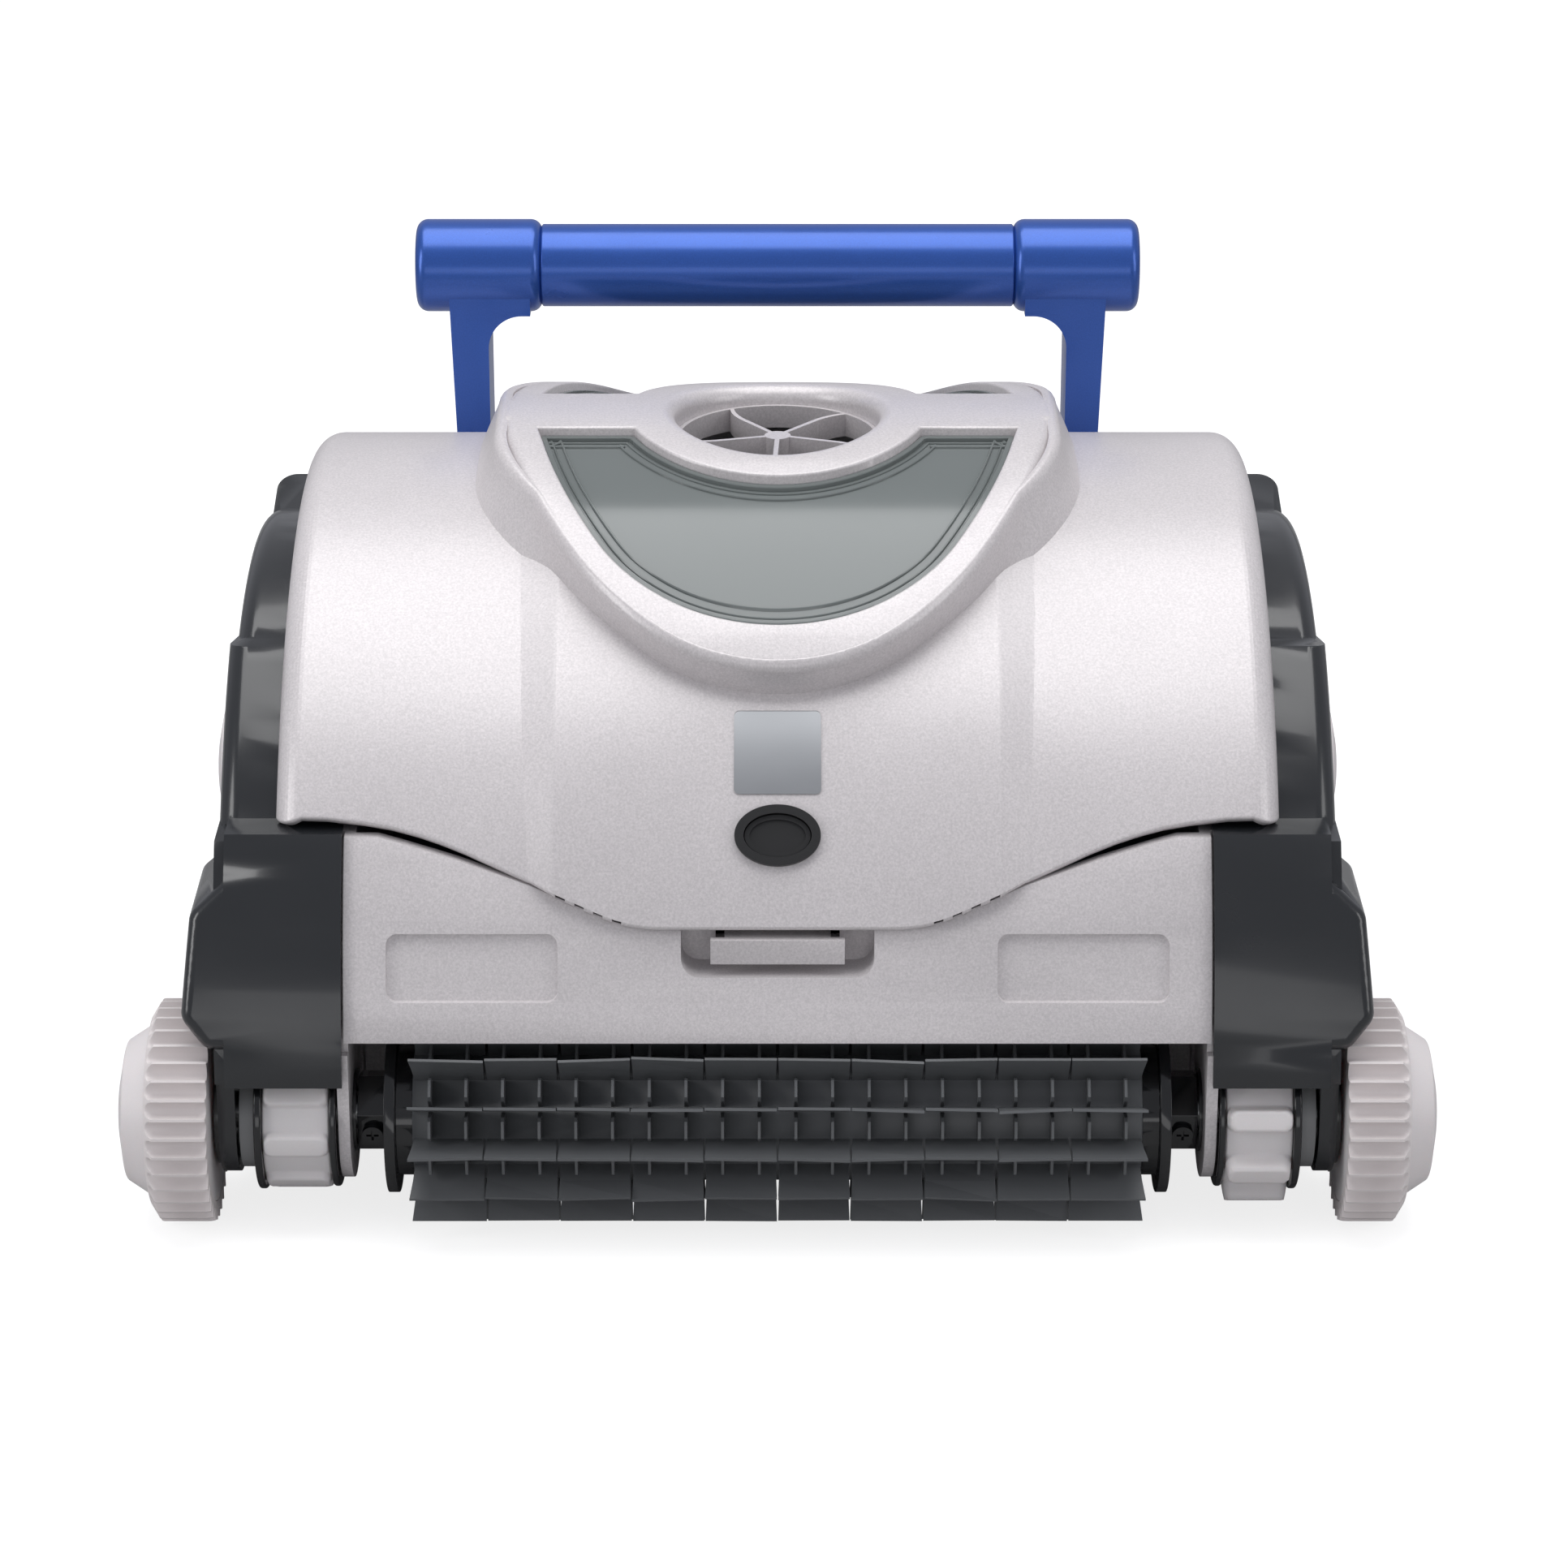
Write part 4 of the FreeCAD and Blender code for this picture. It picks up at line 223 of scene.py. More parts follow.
def seam_height(x):
    """Height of the cover's bottom edge: flat in the middle, rising in a soft S to the sides."""
    a = np.abs(x) * 1000
    turns_x = [0, 38, 42, 47, 52, 57, 100, 108, 116, 124, 133, 145, 153, 162]
    turns_z = [
        106.5, 106.5, 106.7, 107.3, 108.4, 110.1, 127.3, 130.1, 132.4, 134.2, 135.5, 136.6, 136.8, 133.6,
    ]
    return np.interp(a, turns_x, turns_z) / 1000


def panel_rise(x, z):
    """1 on the raised panel, 0 past its sloping sides, with a straight ramp between that widens upwards."""
    foot = PANEL_FOOT_LOW + (PANEL_FOOT_HIGH - PANEL_FOOT_LOW) * np.clip((z - 0.119) / 0.078, 0, 1)
    return np.clip((foot - np.abs(x)) / (foot - PANEL_HALF), 0, 1)


def cover_surface(across, along):
    """The cover's outside: across runs over its width on the rounded arch, along from front to rear."""
    arc = COVER_ROUND * SKIRT_TURN
    s = across * (COVER_FLAT + arc)
    bend = np.clip((np.abs(s) - COVER_FLAT) / COVER_ROUND, 0, SKIRT_TURN)
    x = np.sign(s) * (np.minimum(np.abs(s), COVER_FLAT) + COVER_ROUND * np.sin(bend))
    radius = COVER_RADIUS - COVER_ROUND * (1 - np.cos(bend))
    edge = seam_height(x)
    start = np.arcsin((edge - ARCH_Z) / (radius + 0.0018 * panel_rise(x, edge)))
    angle = start[None, :] + along[:, None] * (math.pi - 2 * start[None, :])
    z = ARCH_Z + radius * np.sin(angle)
    wide_x = np.broadcast_to(x, angle.shape)
    radius = radius + (0.0017 + 0.0019 * np.sin(angle)) * panel_rise(wide_x, z)
    return np.stack([wide_x, -radius * np.cos(angle), ARCH_Z + radius * np.sin(angle)], axis=-1)


# Grid lines over half the width, in millimetres: dense at the sloping sides of the panel and at the edge.
flat_share = COVER_FLAT / (COVER_FLAT + COVER_ROUND * SKIRT_TURN)
half = np.concatenate([
    np.arange(0, 16, 1.0), np.arange(16, 48, 2.0), np.arange(48, 70, 1.0), np.arange(70, 88, 0.6),
    np.arange(88, 150, 3.0), [151.5],
]) / 153 * flat_share
half = np.concatenate([half, flat_share + (1 - flat_share) * np.linspace(0, 1, 12)])
across = np.concatenate([-half[:0:-1], half])
ARCH_LENGTH = 0.42  # front edge to rear edge along the arch
ends = np.array([0, 0.15, 0.5, 1.0, 1.6]) / 1000 / ARCH_LENGTH
front = np.concatenate([ends, np.arange(2.4, 62, 1.2) / 1000 / ARCH_LENGTH])
middle = np.linspace(front[-1], 0.5, 50)[1:]
along = np.concatenate([front, middle, (1 - np.concatenate([front, middle])[::-1])[1:]])
outside = cover_surface(across, along)
square = normals(outside)
if square[len(along) // 2, len(across) // 2, 2] < 0:
    square = -square
over_latch = (np.abs(outside[..., 0]) < 0.024) & (outside[..., 2] < 0.119) & (outside[..., 1] < 0)
inside = outside - np.where(over_latch, LATCH_WALL, COVER_WALL)[..., None] * square
depth = np.minimum(along, 1 - along) * ARCH_LENGTH
side_depth = (1 - np.abs(across)) * 0.164
drop = np.zeros((len(along), len(across)))
for distance in (depth[:, None], side_depth[None, :]):
    near = np.clip(EDGE_ROUND - np.broadcast_to(distance, drop.shape), 0, EDGE_ROUND)
    drop = np.maximum(drop, EDGE_ROUND - np.sqrt(EDGE_ROUND ** 2 - near ** 2))
outside = outside - drop[..., None] * square
centre = 0.25 * (outside[1:, 1:] + outside[:-1, 1:] + outside[1:, :-1] + outside[:-1, :-1])
cx, cy, cz = centre[..., 0], centre[..., 1], centre[..., 2]

# Openings: one oval under the lid frame, |x / 0.0915| to 2.3 + |y / 0.112| squared below 1; the release
# button's oval, which leans 34 degrees; and the vent slits along the front and rear edges.
BUTTON_Z, BUTTON_LONG, BUTTON_SHORT = 0.133, 0.0124, 0.0086
under_frame = np.abs(cx / 0.0915) ** 2.3 + np.abs(cy / 0.112) ** 2.0 < 1
up_slope = (cz - BUTTON_Z) / math.cos(math.radians(34)) / BUTTON_SHORT
under_button = (np.hypot(cx / BUTTON_LONG, up_slope) < 1) & (cy < -0.1)
keep = ~under_frame & ~under_button
at_edge = np.broadcast_to(depth[:-1, None] < 0.0009, keep.shape)
for slit_middle in (51.7, 57.7, 63.7, 69.7):
    keep &= ~(at_edge & (np.abs(np.abs(cx) * 1000 - slit_middle) < 1.7))
top_cover = piece("top_cover_skin", *walled(outside, inside, keep), pearl, "cover", "top_cover")
top_cover.data.set_sharp_from_angle(angle=math.radians(7))


# ------------------------------------------------------------ lid frame, housing and latch tongue
# Pearl ABS mouldings that keep the CAD sub-part's own shape. Where a sharp edge is left, it is rolled over
# finely, as the mould leaves it. The frame's own roundings are in its solid.

def softened(node, width, material, body, share=None, corner=24):
    """A welded copy of a CAD node, with edges past corner degrees rounded by width, in millimetres.

    share gives, for arrays of an edge's middle x, y and z in millimetres, the part of width that it gets.
    No width leaves the shape alone and only marks its sharp edges.
    """
    shape = bmesh.new()
    shape.from_mesh(nodes[node].data)
    bmesh.ops.remove_doubles(shape, verts=shape.verts, dist=2e-5)
    bmesh.ops.dissolve_limit(shape, angle_limit=math.radians(0.2), verts=shape.verts, edges=shape.edges)
    mesh = bpy.data.meshes.new(f"{node}_soft")
    turned = [len(e.link_faces) == 2 and e.calc_face_angle(0) > math.radians(corner) for e in shape.edges]
    shape.to_mesh(mesh)
    shape.free()
    corners = np.empty(len(mesh.vertices) * 3)
    mesh.vertices.foreach_get("co", corners)
    pairs = np.empty(len(mesh.edges) * 2, dtype=np.int32)
    mesh.edges.foreach_get("vertices", pairs)
    middles = 1000 * corners.reshape(-1, 3)[pairs.reshape(-1, 2)].mean(axis=1)
    weights = np.array(turned) * (share(*middles.T) if share else 1.0)
    rolled = mesh.attributes.new("bevel_weight_edge", "FLOAT", "EDGE")
    rolled.data.foreach_set("value", weights.astype(float))
    mesh.polygons.foreach_set("use_smooth", [True] * len(mesh.polygons))
    mesh.materials.clear()
    mesh.materials.append(material)
    item = bpy.data.objects.new(f"{node}_soft", mesh)
    bpy.context.scene.collection.objects.link(item)
    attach(item, body)
    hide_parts(node)
    if width:
        roll = item.modifiers.new("roll", "BEVEL")
        roll.limit_method = "WEIGHT"
        roll.width = width / 1000
        roll.segments = 3
        roll.use_clamp_overlap = True
        roll.harden_normals = True
    else:
        mesh.set_sharp_from_angle(angle=math.radians(28))


softened("lid_frame", 0, pearl, "cover")


def front_share(x, y, z):
    """Whole width on the housing's end walls, none from y 108 inwards, where its sub-parts meet."""
    return np.where(np.abs(y) < 108, 0.0, 1.0)


softened("housing_front", 0.8, pearl, "chassis", front_share)
softened("housing_rear", 0.8, pearl, "chassis", front_share)
softened("latch_tongue", 0.5, pearl, "latch")


# ------------------------------------------------------------ side covers and handle arms
# Charcoal ABS covers over the two sides, fixed to the chassis, and the two arms of the handle in blue ABS,
# screwed to the cover. Both are mouldings with finely rolled edges.

# Injection-moulded charcoal ABS: near black with a blue cast, polished mould, so it mirrors the soft boxes.
glossy_coat = {"Coat Weight": 0.4, "Coat Roughness": 0.10}
charcoal = finish("charcoal_abs", "#202225", 0.25, 0.6, 0.02, flake=0.02, sockets=glossy_coat)
for side_name in ("left", "right"):
    softened(f"side_cover_{side_name}", 0.7, charcoal, "chassis", corner=50)

# Injection-moulded ABS with metal flake: deep blue that lights up towards the lamps, satin lacquer gloss.
lacquer = {"Metallic": 0.45, "Coat Weight": 0.3, "Coat Roughness": 0.15}
metallic_blue = finish("metallic_blue_abs", "#2c56aa", 0.30, 0.5, 0.03, flake=0.08, sockets=lacquer)
softened("handle_arm_left", 1.0, metallic_blue, "cover")
softened("handle_arm_right", 1.0, metallic_blue, "cover")


# ------------------------------------------------------------ handle grip
# A moulded bar 29 mm thick, pushed into the sleeves, with a fine shadow line at each joint.

def filleted(corners):
    """A polyline through (u, v, radius) corners, each cut back and replaced by an arc of that radius."""
    corners = [np.array(c, dtype=float) for c in corners]
    line = [corners[0][:2]]
    for before, here, after in zip(corners, corners[1:], corners[2:]):
        a, b = before[:2] - here[:2], after[:2] - here[:2]
        la, lb = np.hypot(*a), np.hypot(*b)
        a, b = a / la, b / lb
        half = math.acos(max(-1, min(1, float(a @ b)))) / 2
        radius = here[2]
        if radius <= 0 or half > 1.55:
            line.append(here[:2])
            continue
        back = min(radius / math.tan(half), 0.48 * la, 0.48 * lb)
        radius = back * math.tan(half)
        middle = here[:2] + (a + b) / np.hypot(*(a + b)) * radius / math.sin(half)
        start, stop = here[:2] + a * back - middle, here[:2] + b * back - middle
        first = math.atan2(start[1], start[0])
        sweep = (math.atan2(stop[1], stop[0]) - first + math.pi) % (2 * math.pi) - math.pi
        turn = first + sweep * np.linspace(0, 1, 6)
        line.extend(middle + radius * np.stack([np.cos(turn), np.sin(turn)], axis=-1))
    line.append(corners[-1][:2])
    return np.array(line)


def lathed(name, corners, middle, material, body, replaced=(), steps=96, mirrored=False, closed=True):
    """A body turned about a line along X through middle (y, z); corners: (x, radius, fillet) in millimetres.

    The profile runs so that the outside lies to its left; mirrored adds the image in the middle plane.
    """
    line = filleted(corners) / 1000
    turn = np.linspace(0, 2 * math.pi, steps, endpoint=False)
    x = np.broadcast_to(line[:, :1], (len(line), steps))
    y, z = middle[0] + line[:, 1:] * np.cos(turn), middle[1] + line[:, 1:] * np.sin(turn)
    points = np.stack([x, y, z], axis=-1)
    faces = cells(len(line), steps, closed, True)
    points = points.reshape(-1, 3)
    if mirrored:
        faces = np.concatenate([faces, faces[:, ::-1] + len(points)])
        points = np.concatenate([points, points * [-1, 1, 1]])
    return piece(name, points, faces, material, body, *replaced)


GRIP = (0.090, 0.2536)  # y and z of the grip's middle line
grip_profile = [
    (-125, 0, 0), (-125, 11, 0), (-84.4, 11, 0), (-84.4, 13.6, 0), (-83.6, 14.65, 0.5), (83.6, 14.65, 0.5),
    (84.4, 13.6, 0), (84.4, 11, 0), (125, 11, 0), (125, 0, 0),
]
lathed("handle_grip_bar", grip_profile, GRIP, metallic_blue, "cover", ("handle_grip",), closed=False)


# ------------------------------------------------------------ wheels
# Off-white tyres of soft TPE whose 36 thin ridges are what round-bottomed valleys leave, on solid hubs
# moulded in off-white acetal with a coned rim and a slightly domed face.

# Moulded acetal: warm off-white, waxy, with a little light under the surface.
waxy = {"Subsurface Weight": 0.05}
off_white = finish("off_white_acetal", "#e0dada", 0.40, 0.6, 0.015, flake=0.01, sockets=waxy)
# Moulded soft TPE: the same off-white, duller and slightly rougher than the hubs.
tread_tpe = finish("off_white_tpe", "#ded7d6", 0.48, 0.5, 0.02, flake=0.01)
AXLE_Y, AXLE_Z = 0.152, 0.0365
TREADS = 36
TYRE_RADIUS, VALLEY_HALF, VALLEY_DEPTH, TYRE_BORE = 36.5, 2.74, 4.2, 30.0


def tyre_surface(turn_count):
    """Tyre over (x, angle): the smaller of a barrel with coned shoulders and a ring of elliptical valleys."""
    pitch = 2 * math.pi / turn_count
    valley = VALLEY_HALF * np.sin(np.linspace(-0.5, 0.5, 11) * math.pi)
    share = np.concatenate([valley, [2.8, 3.18, 3.56]]) / TYRE_RADIUS
    angle = (np.arange(turn_count)[:, None] * pitch + share[None, :] + pitch / 2).ravel()
    depth = VALLEY_DEPTH * np.sqrt(np.clip(1 - (share * TYRE_RADIUS / VALLEY_HALF) ** 2, 0, 1))
    depth = np.tile(depth, turn_count)
    inner = [183.5, 184.0, 184.8, 186.0, 193, 199.6]
    x = np.array(inner + [200.3, 200.9, 201.4, 201.9, 202.4, 202.9, 203.4, 203.8])
    barrel = np.interp(x, [183.5, 185.0, 200.8, 203.8], [36.2, TYRE_RADIUS, TYRE_RADIUS, 31.6])
    shoulder = 0.2 * np.clip(184.6 - x, 0, 2)
    radius = np.minimum(barrel[:, None], TYRE_RADIUS - depth[None, :] - shoulder[:, None])
    x = np.concatenate([x, [203.6, 183.5]])
    radius = np.concatenate([radius, np.full((2, len(angle)), TYRE_BORE)])
    return x[:, None] / 1000, radius / 1000, angle


x, radius, angle = tyre_surface(TREADS)
for end, y in (("front", -AXLE_Y), ("rear", AXLE_Y)):
    for side_name, side in (("left", -1), ("right", 1)):
        wide_x = np.broadcast_to(side * x, radius.shape)
        points = np.stack([wide_x, y + radius * np.cos(angle), AXLE_Z + radius * np.sin(angle)], axis=-1)
        faces = cells(*radius.shape, True, True)
        faces = faces if side > 0 else faces[:, ::-1]
        tyre = piece(
            f"{end}_tyre_{side_name}_treads", points.reshape(-1, 3), faces, tread_tpe, f"{end}_axle",
            f"{end}_tyre_{side_name}",
        )
        tyre.data.set_sharp_from_angle(angle=math.radians(32))
    hub_profile = [
        (183.5, 6.2, 0), (183.5, 29.9, 0.5), (203.2, 30.6, 0.4), (204.2, 28.2, 1.0), (212.2, 23.0, 1.6),
        (214.4, 12, 6), (215.2, 4, 3), (215.4, 0, 0),
    ]
    lathed(
        f"{end}_hubs", hub_profile, (y, AXLE_Z), off_white, f"{end}_axle", (f"{end}_wheel_hubs",),
        mirrored=True, closed=False,
    )


# ------------------------------------------------------------ bump rings and their spools
# Off-white acetal rings that roll along a pool's wall, each on a gloss black spool with two flanges. The
# left rings have low bars, the right rings high rounded pads.

# Injection-moulded black ABS from a polished mould: sharp small reflections along every flange.
mirror_coat = {"Coat Weight": 0.3, "Coat Roughness": 0.05}
gloss_black = finish("gloss_black_abs", "#141517", 0.16, 0.8, 0.01, sockets=mirror_coat)
RING_WIDTH, RING_START, SLEEVE_RADIUS, RING_BORE = 21.7, 144.9, 23.5, 20.0
PAD_LENGTH_HALF, PAD_CORNER, RING_ROUND = 10.3, 2.6, 0.7


def padded_ring(height, half_width, first, count=9):
    """Ring over (x, angle): a sleeve with pads, each a rounded rectangle raised with a soft edge."""
    angle = np.linspace(0, 2 * math.pi, count * 30, endpoint=False)
    x = np.concatenate([[0, 0.12, 0.35, 0.7], np.linspace(1.2, 20.5, 22), [21, 21.35, 21.58, 21.7]])
    pitch = 2 * math.pi / count
    u = ((angle - first + pitch / 2) % pitch - pitch / 2) * 25
    past_end = np.clip(np.abs(x - RING_WIDTH / 2) - (PAD_LENGTH_HALF - PAD_CORNER), 0, None)
    past_side = np.clip(np.abs(u) - (half_width - PAD_CORNER), 0, None)
    d = np.hypot(past_end[:, None], past_side[None, :]) - PAD_CORNER
    rise = np.clip(0.5 - d / 1.6, 0, 1)
    rise = rise * rise * (3 - 2 * rise)
    near = RING_ROUND - np.clip(np.minimum(x, RING_WIDTH - x), 0, RING_ROUND)
    roll = RING_ROUND - np.sqrt(np.clip(RING_ROUND ** 2 - near ** 2, 0, None))
    radius = SLEEVE_RADIUS + height * rise - roll[:, None]
    x = np.concatenate([x, [RING_WIDTH, 0]]) + RING_START
    radius = np.concatenate([radius, np.full((2, len(angle)), RING_BORE)])
    return x[:, None] / 1000, radius / 1000, angle


for end, y in (("front", -AXLE_Y), ("rear", AXLE_Y)):
    forward = 1 if end == "rear" else -1
    pads = (("left", -1, 2.4, 3.9, -3), ("right", 1, 6.2, 3.5, 18))
    for side_name, side, height, half_width, elevation in pads:
        x, radius, angle = padded_ring(height, half_width, math.radians(elevation))
        wide_x = np.broadcast_to(side * x, radius.shape)
        ring_y = y + forward * radius * np.cos(angle)
        points = np.stack([wide_x, ring_y, AXLE_Z + radius * np.sin(angle)], axis=-1)
        faces = cells(*radius.shape, True, True)
        faces = faces if side * forward > 0 else faces[:, ::-1]
        piece(
            f"{end}_ring_{side_name}", points.reshape(-1, 3), faces, off_white, f"{end}_axle",
            f"{end}_bump_ring_{side_name}",
        )
    spool_profile = [
        (142.6, 6.1, 0), (142.6, 25.0, 0.8), (144.85, 25.0, 0.8), (144.85, 19.9, 0), (166.65, 19.9, 0),
        (166.65, 25.8, 0.8), (169.2, 25.8, 0.8), (169.2, 16.8, 0), (174.7, 16.8, 0), (174.7, 6.1, 0),
    ]
    lathed(
        f"{end}_spools", spool_profile, (y, AXLE_Z), gloss_black, f"{end}_axle", (f"{end}_bump_spools",),
        mirrored=True,
    )
    softened(f"{end}_brush_core", 0.5, gloss_black, f"{end}_axle")


# ------------------------------------------------------------ brushes
# Dark grey PVC sleeves with fourteen rows of thin fins. Slits cut each row into ten flaps that flare a
# little at their free edge, and two small ribs stand between the rows in every segment.

# Moulded PVC: neutral dark grey, semi-matt, with a slow unevenness of tone.
pvc = finish("dark_grey_pvc", "#606264", 0.40, 0.8, 0.03, drift=0.05)
FINS, SEGMENTS, BRUSH_HALF = 14, 10, 118.0
FIN_ROOT, FIN_TIP = 22.6, 37.15
pitch = 2 * BRUSH_HALF / SEGMENTS


def flaps(rng):
    """All fins in (x, out, around) millimetres: boxes of three rows from root to tip, tips wider and wavy."""
    rows = np.array([0.0, 0.5, 1.0])
    axes = (np.arange(FINS), np.arange(SEGMENTS), rows, [-1, 1], [-1, 1])
    fin, part, row, end, face = np.meshgrid(*axes, indexing="ij")
    middle = -BRUSH_HALF + pitch * (part + 0.5)
    outer = ((part == 0) & (end < 0)) | ((part == SEGMENTS - 1) & (end > 0))
    flare = np.where(outer, 1.3, 0.35) * row ** 1.5
    x = middle + end * (pitch / 2 - 0.55 + flare)
    lean = rng.normal(0, 0.28, (FINS, SEGMENTS))[:, :, None, None, None] * row ** 2
    curl = rng.normal(0, 0.30, (FINS, SEGMENTS))[:, :, None, None, None] * row ** 2 * end
    shorten = rng.uniform(0, 0.25, (FINS, SEGMENTS))[:, :, None, None, None]
    out = FIN_ROOT + (FIN_TIP - FIN_ROOT - shorten) * row
    around = face * (0.62 - 0.17 * row) + lean + curl
    return np.stack([x, out, around], axis=-1), fin


def ribs():
    """Two thin ribs across each gap between fins in every segment, rounded at the tip."""
    axes = (np.arange(FINS), np.arange(SEGMENTS), [-0.25, 0.25], [0, 1, 2], [-1, 1], [-1, 1])
    fin, part, spot, row, end, face = np.meshgrid(*axes, indexing="ij")
    x = -BRUSH_HALF + pitch * (part + 0.5 + spot) + face * (0.6 - 0.08 * row)
    out = np.choose(row, [22.2, 28.6, 30.2])
    around = end * np.choose(row, [4.3, 3.9, 2.8])
    return np.stack([x, out, around], axis=-1), fin + 0.5


def stacked(rings):
    """Faces of one box of stacked rings: 4 corners a ring, numbered ring by ring, closed at both ends."""
    ring = (0, 1, 3, 2)
    sides = []
    for low in range(0, 4 * rings - 4, 4):
        for a, b in zip(ring, ring[1:] + ring[:1]):
            sides.append([low + a, low + b, low + 4 + b, low + 4 + a])
    return np.array(sides + [[0, 2, 3, 1], [4 * rings - 4 + k for k in ring]])


def set_round(local, slot, y, forward):
    """Turn (x, out, around) to the axle: a slot is a whole fin pitch further round, one exactly forward."""
    turn = slot * 2 * math.pi / FINS
    out, around = local[..., 1] / 1000, local[..., 2] / 1000
    py = y + forward * (out * np.cos(turn) - around * np.sin(turn))
    pz = AXLE_Z + out * np.sin(turn) + around * np.cos(turn)
    return np.stack([local[..., 0] / 1000, py, pz], axis=-1)


for number, (end, y) in enumerate((("front", -AXLE_Y), ("rear", AXLE_Y))):
    rng = np.random.default_rng(7 + number)
    points, faces = [], []
    count = 0
    for local, slot in (flaps(rng), ribs()):
        placed = set_round(local, slot, y, -1).reshape(-1, 3)
        box = stacked(3)
        many = np.arange(len(placed) // 12)[:, None, None] * 12 + box[None] + count
        points.append(placed)
        faces.append(many.reshape(-1, 4))
        count += len(placed)
    fins = piece(f"{end}_brush", np.concatenate(points), np.concatenate(faces), pvc, f"{end}_axle")
    shape = bmesh.new()
    shape.from_mesh(fins.data)
    bmesh.ops.recalc_face_normals(shape, faces=shape.faces)
    for face in shape.faces:
        face.smooth = False
    shape.to_mesh(fins.data)
    shape.free()
    sleeve = [(-118, 21.35, 0), (118, 21.35, 0), (118, 23, 0.6), (-118, 23, 0.6)]
    lathed(f"{end}_brush_sleeve", sleeve[::-1], (y, AXLE_Z), pvc, f"{end}_axle")
    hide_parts(f"{end}_brush_fins")


# ------------------------------------------------------------ the other parts
# Everything else keeps the CAD shape and gets its own material: the base, flaps and motor casing, the
# belts, the shafts and fixings, and the filter and board inside. Mouldings, turned metal and woven cloth.

def paint(material, *names):
    """Give CAD nodes a material."""
    for name in names:
        mesh = nodes[name].data
        for number in range(len(mesh.materials)):
            mesh.materials[number] = material


# Moulded nylon: dark grey, dull, a coarse grain that breaks up reflections.
satin_dark = finish("dark_nylon", "#2e3033", 0.55, 0.4, 0.04)
# Moulded silicone: soft black with a broad sheen.
soft_black = finish("black_silicone", "#1d1d1e", 0.45, 0.4, 0.02)
# Moulded polyurethane: mid grey, even, half dull.
belt_grey = finish("grey_polyurethane", "#8b8c8d", 0.4)
# Turned stainless steel: bright metal with fine scatter.
steel = finish("stainless_steel", "#b4b5b6", 0.28, sockets={"Metallic": 1.0})
# Brushed aluminium: pale metal, softer reflections than the steel.
brushed = finish("brushed_aluminium", "#a4a6a9", 0.38, sockets={"Metallic": 1.0})
# Moulded polypropylene: blue grey, dull, seen only through the windows.
frame_blue = finish("filter_frame_pp", "#5a6270", 0.5)
# Woven polyester: pale and fully matt.
mesh_cloth = finish("filter_mesh_polyester", "#b9bab4", 0.8)
# Pressed glass laminate with solder resist: dark green, even.
laminate = finish("green_laminate", "#1f4a2c", 0.5)
paint(pearl, "housing_middle", "outlet_grille")
paint(charcoal, "cable_gland")
paint(satin_dark, "base_plate", "inlet_flap_front", "inlet_flap_rear")
paint(satin_dark, "motor_casing", "motor_casing_cap", "pump_duct", "impeller")
paint(soft_black, "release_button", "casing_seal", "button_bezel")
paint(belt_grey, "drive_belt_left", "drive_belt_right")
paint(steel, "hinge_pins", "handle_screws", "housing_screws", "button_spring")
paint(steel, "pump_shaft", "drive_shaft", "drive_motor", "pump_motor")
paint(brushed, "badge_plate")
paint(frame_blue, "filter_frames")
paint(mesh_cloth, "filter_media")
paint(laminate, "control_board")
paint(gloss_black, "axle_bushes", "drive_pulleys")
for end in ("front", "rear"):
    paint(steel, f"{end}_axle_shaft")
    paint(gloss_black, f"{end}_coupler_screws")


# ------------------------------------------------------------ windows
# Clear smoked polycarbonate panes, moulded with a stepped rim that follows the opening, clipped into the
# lid frame from below.

# Moulded smoked polycarbonate: grey and glossy, a faint uneven haze, a fifth of what is behind shows.
smoked = bpy.data.materials.new("smoked_polycarbonate")
smoked.use_nodes = True
tree = smoked.node_tree
glass = {"Base Color": linear("#767c7b"), "Alpha": 0.80, "Coat Weight": 0.5, "Coat Roughness": 0.10}
for socket, number in glass.items():
    tree.nodes["Principled BSDF"].inputs[socket].default_value = number
place = add(tree, "ShaderNodeTexCoord").outputs["Object"]
haze = add(tree, "ShaderNodeTexNoise", inputs={"Scale": 30.0, "Detail": 3.0}, Vector=place)
soft = add(tree, "ShaderNodeMapRange", inputs={"To Min": 0.12, "To Max": 0.20}, Value=haze.outputs["Fac"])
tree.links.new(soft.outputs["Result"], tree.nodes["Principled BSDF"].inputs["Roughness"])
paint(smoked, "window_front", "window_rear")
LEAN = math.tan(math.radians(32))


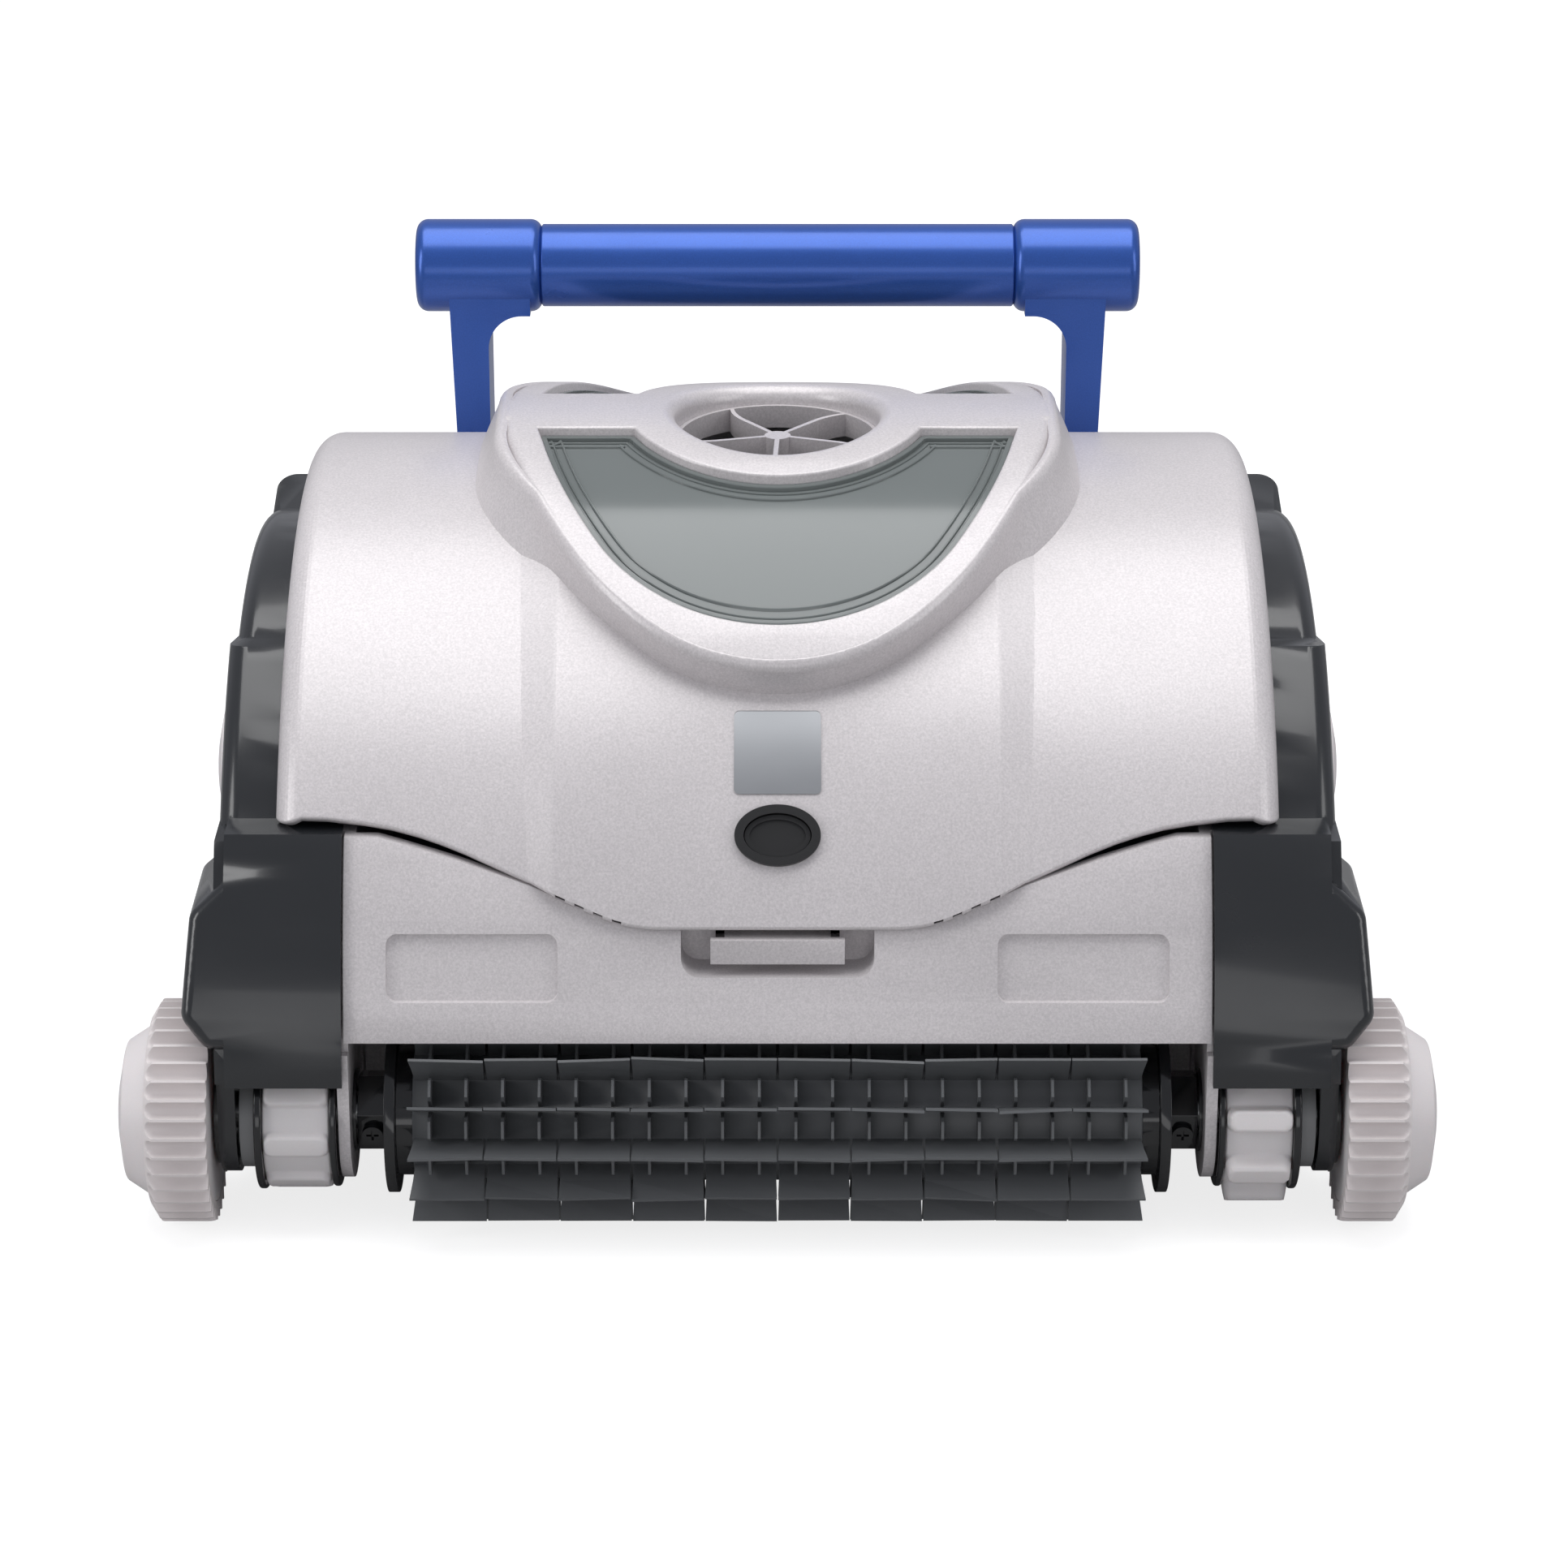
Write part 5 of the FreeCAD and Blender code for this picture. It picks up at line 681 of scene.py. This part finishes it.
def leaning_line(tip, bends, end, radius, arch, stop, count=160):
    """Half outline (x, y) of a leaning oval where it meets the arch of radius about height arch, from its
    tip to y = stop. In plan at z 150 it is tangent arcs of (radius, heading at the end in degrees), then a
    straight run to end; a point at height z lies (z - 150) tan 32 degrees further out."""
    u, v, heading = 0.0, tip, 0.0
    runs = []
    for bend, turn in bends:
        arc, first = np.radians(np.linspace(heading, turn, 40)), math.radians(heading)
        right, down = np.sin(arc) - math.sin(first), math.cos(first) - np.cos(arc)
        runs.append(np.stack([u + bend * right, v + bend * down], -1))
        (u, v), heading = runs[-1][-1], turn
    plan = np.concatenate(runs + [np.linspace(runs[-1][-1], end, 60)])
    x, y0 = plan.T
    y = y0 - 20
    for _ in range(60):
        z = arch + np.sqrt(radius ** 2 - np.clip(y, -radius, radius) ** 2)
        y = 0.5 * y + 0.5 * (y0 - (z - 150) * LEAN)
    last = int(np.argmax(y > stop))
    share = (stop - y[last - 1]) / (y[last] - y[last - 1])
    x = np.append(x[:last], x[last - 1] + share * (x[last] - x[last - 1]))
    y = np.append(y[:last], stop)
    run = np.concatenate([[0], np.cumsum(np.hypot(np.diff(x), np.diff(y)))])
    even = np.linspace(0, run[-1], count)
    return np.stack([np.interp(even, run, x), np.interp(even, run, y)], -1)


def smoothed_loop(line, width):
    """A closed plan line with a point each millimetre, averaged over width points so that corners turn."""
    closed = np.concatenate([line, line[:1]])
    run = np.concatenate([[0], np.cumsum(np.hypot(*np.diff(closed, axis=0).T))])
    even = np.arange(0, run[-1], 1.0)
    line = np.stack([np.interp(even, run, closed[:, k]) for k in (0, 1)], -1)
    long = np.concatenate([line[-width:], line, line[:width]])
    window = np.ones(width) / width
    return np.stack([np.convolve(long[:, k], window, "same")[width:-width] for k in (0, 1)], -1)


PANE_RADIUS, PANE_ARCH = 188.5, 36.0
BAR_HALF, RING_RADIUS = 19.0, 52.0
half = leaning_line(-87.5, ((60, 40), (75, 65), (260, 80)), (82, 34), PANE_RADIUS, PANE_ARCH, -BAR_HALF)
first = math.asin(BAR_HALF / RING_RADIUS)
ring = np.linspace(-first, first - math.pi, 60)
ring = RING_RADIUS * np.stack([np.cos(ring), np.sin(ring)], -1)
line = smoothed_loop(np.concatenate([half, ring, half[:0:-1] * [-1, 1]]), 5)
tangent = np.roll(line, -2, axis=0) - np.roll(line, 2, axis=0)
inward = np.stack([-tangent[:, 1], tangent[:, 0]], -1) / np.hypot(*tangent.T)[:, None]


def pane_rim(inset, width, rise):
    """Closed band along the opening: inset from it, width wide, rise above the pane, top edges cut at 45."""
    rows = []
    cut, foot = 0.25, -0.8
    top = rise + cut
    profile = ((0, foot), (0, rise), (cut, top), (width - cut, top), (width, rise), (width, foot))
    for across, height in profile:
        x, y = (line + inward * (inset + across)).T
        rows.append(np.stack([x, y, PANE_ARCH + np.sqrt((PANE_RADIUS + height) ** 2 - y ** 2)], -1))
    return np.stack(rows) / 1000


bands = ((0.2, 2.0, 1.3), (3.4, 0.7, 0.35), (6.4, 0.8, 0.5))
for number, (inset, width, rise) in enumerate(bands):
    points = pane_rim(inset, width, rise)
    faces = cells(*points.shape[:2], True, True)
    for end_name, side in (("front", 1), ("rear", -1)):
        placed = points.reshape(-1, 3) * [1, side, 1]
        rim = piece(f"window_{end_name}_rim_{number}", placed, faces[:, ::side], smoked, "cover")
        rim.data.set_sharp_from_angle(angle=math.radians(30))


# ------------------------------------------------------------ lid frame's foot
# The frame's outer wall and crest as one closed band. It flares out at the sides and runs down to the
# arch beside the raised panel; same pearl ABS, same moulding as the frame.

FLARE = 6.0  # millimetres the wall stands further out where its flare is 1
# Rows of (inset, flare, radius about the arch), from the crest's inner edge over it and down the outside.
FOOT_ROWS = (
    (5.0, 0.0, 192.2), (3.6, 0.0, 193.0), (2.4, 0.0, 192.7), (1.3, 0.0, 191.9), (0.5, 0.0, 190.6),
    (-0.15, 0.0, 188.4), (-0.15, 0.55, 181.0), (-0.15, 1.0, 174.5), (4.0, 0.0, 174.5),
)
rows = []
for inset, flare, radius in FOOT_ROWS:
    arcs = ((60 - inset, 45), (135 - inset, 65), (290 - inset, 80))
    half = leaning_line(-107.1 + inset, arcs, (96.2 - inset, 60), radius, PANE_ARCH, 0.0)
    away = np.clip(np.abs(half[:, 1]) - 21, 0, None)
    half[:, 0] = np.maximum(half[:, 0], (96.5 - inset - 0.009 * away ** 2) * (away < 60))
    front = np.concatenate([half[:0:-1] * [-1, 1], half])
    loop = np.concatenate([front, front[-2:0:-1] * [1, -1]])
    along_loop = np.roll(loop, -3, axis=0) - np.roll(loop, 3, axis=0)
    outward = np.stack([along_loop[:, 1], -along_loop[:, 0]], -1) / np.hypot(*along_loop.T)[:, None]
    side = np.clip((np.abs(loop[:, :1]) - 45) / 45, 0, 1)
    loop = loop + outward * flare * FLARE * side * side * (3 - 2 * side)
    rows.append(np.column_stack([loop, PANE_ARCH + np.sqrt(radius ** 2 - loop[:, 1] ** 2)]))
points = np.stack(rows) / 1000
foot = piece("lid_frame_foot", points.reshape(-1, 3), cells(*points.shape[:2], True, True), pearl, "cover")
foot.data.set_sharp_from_angle(angle=math.radians(60))
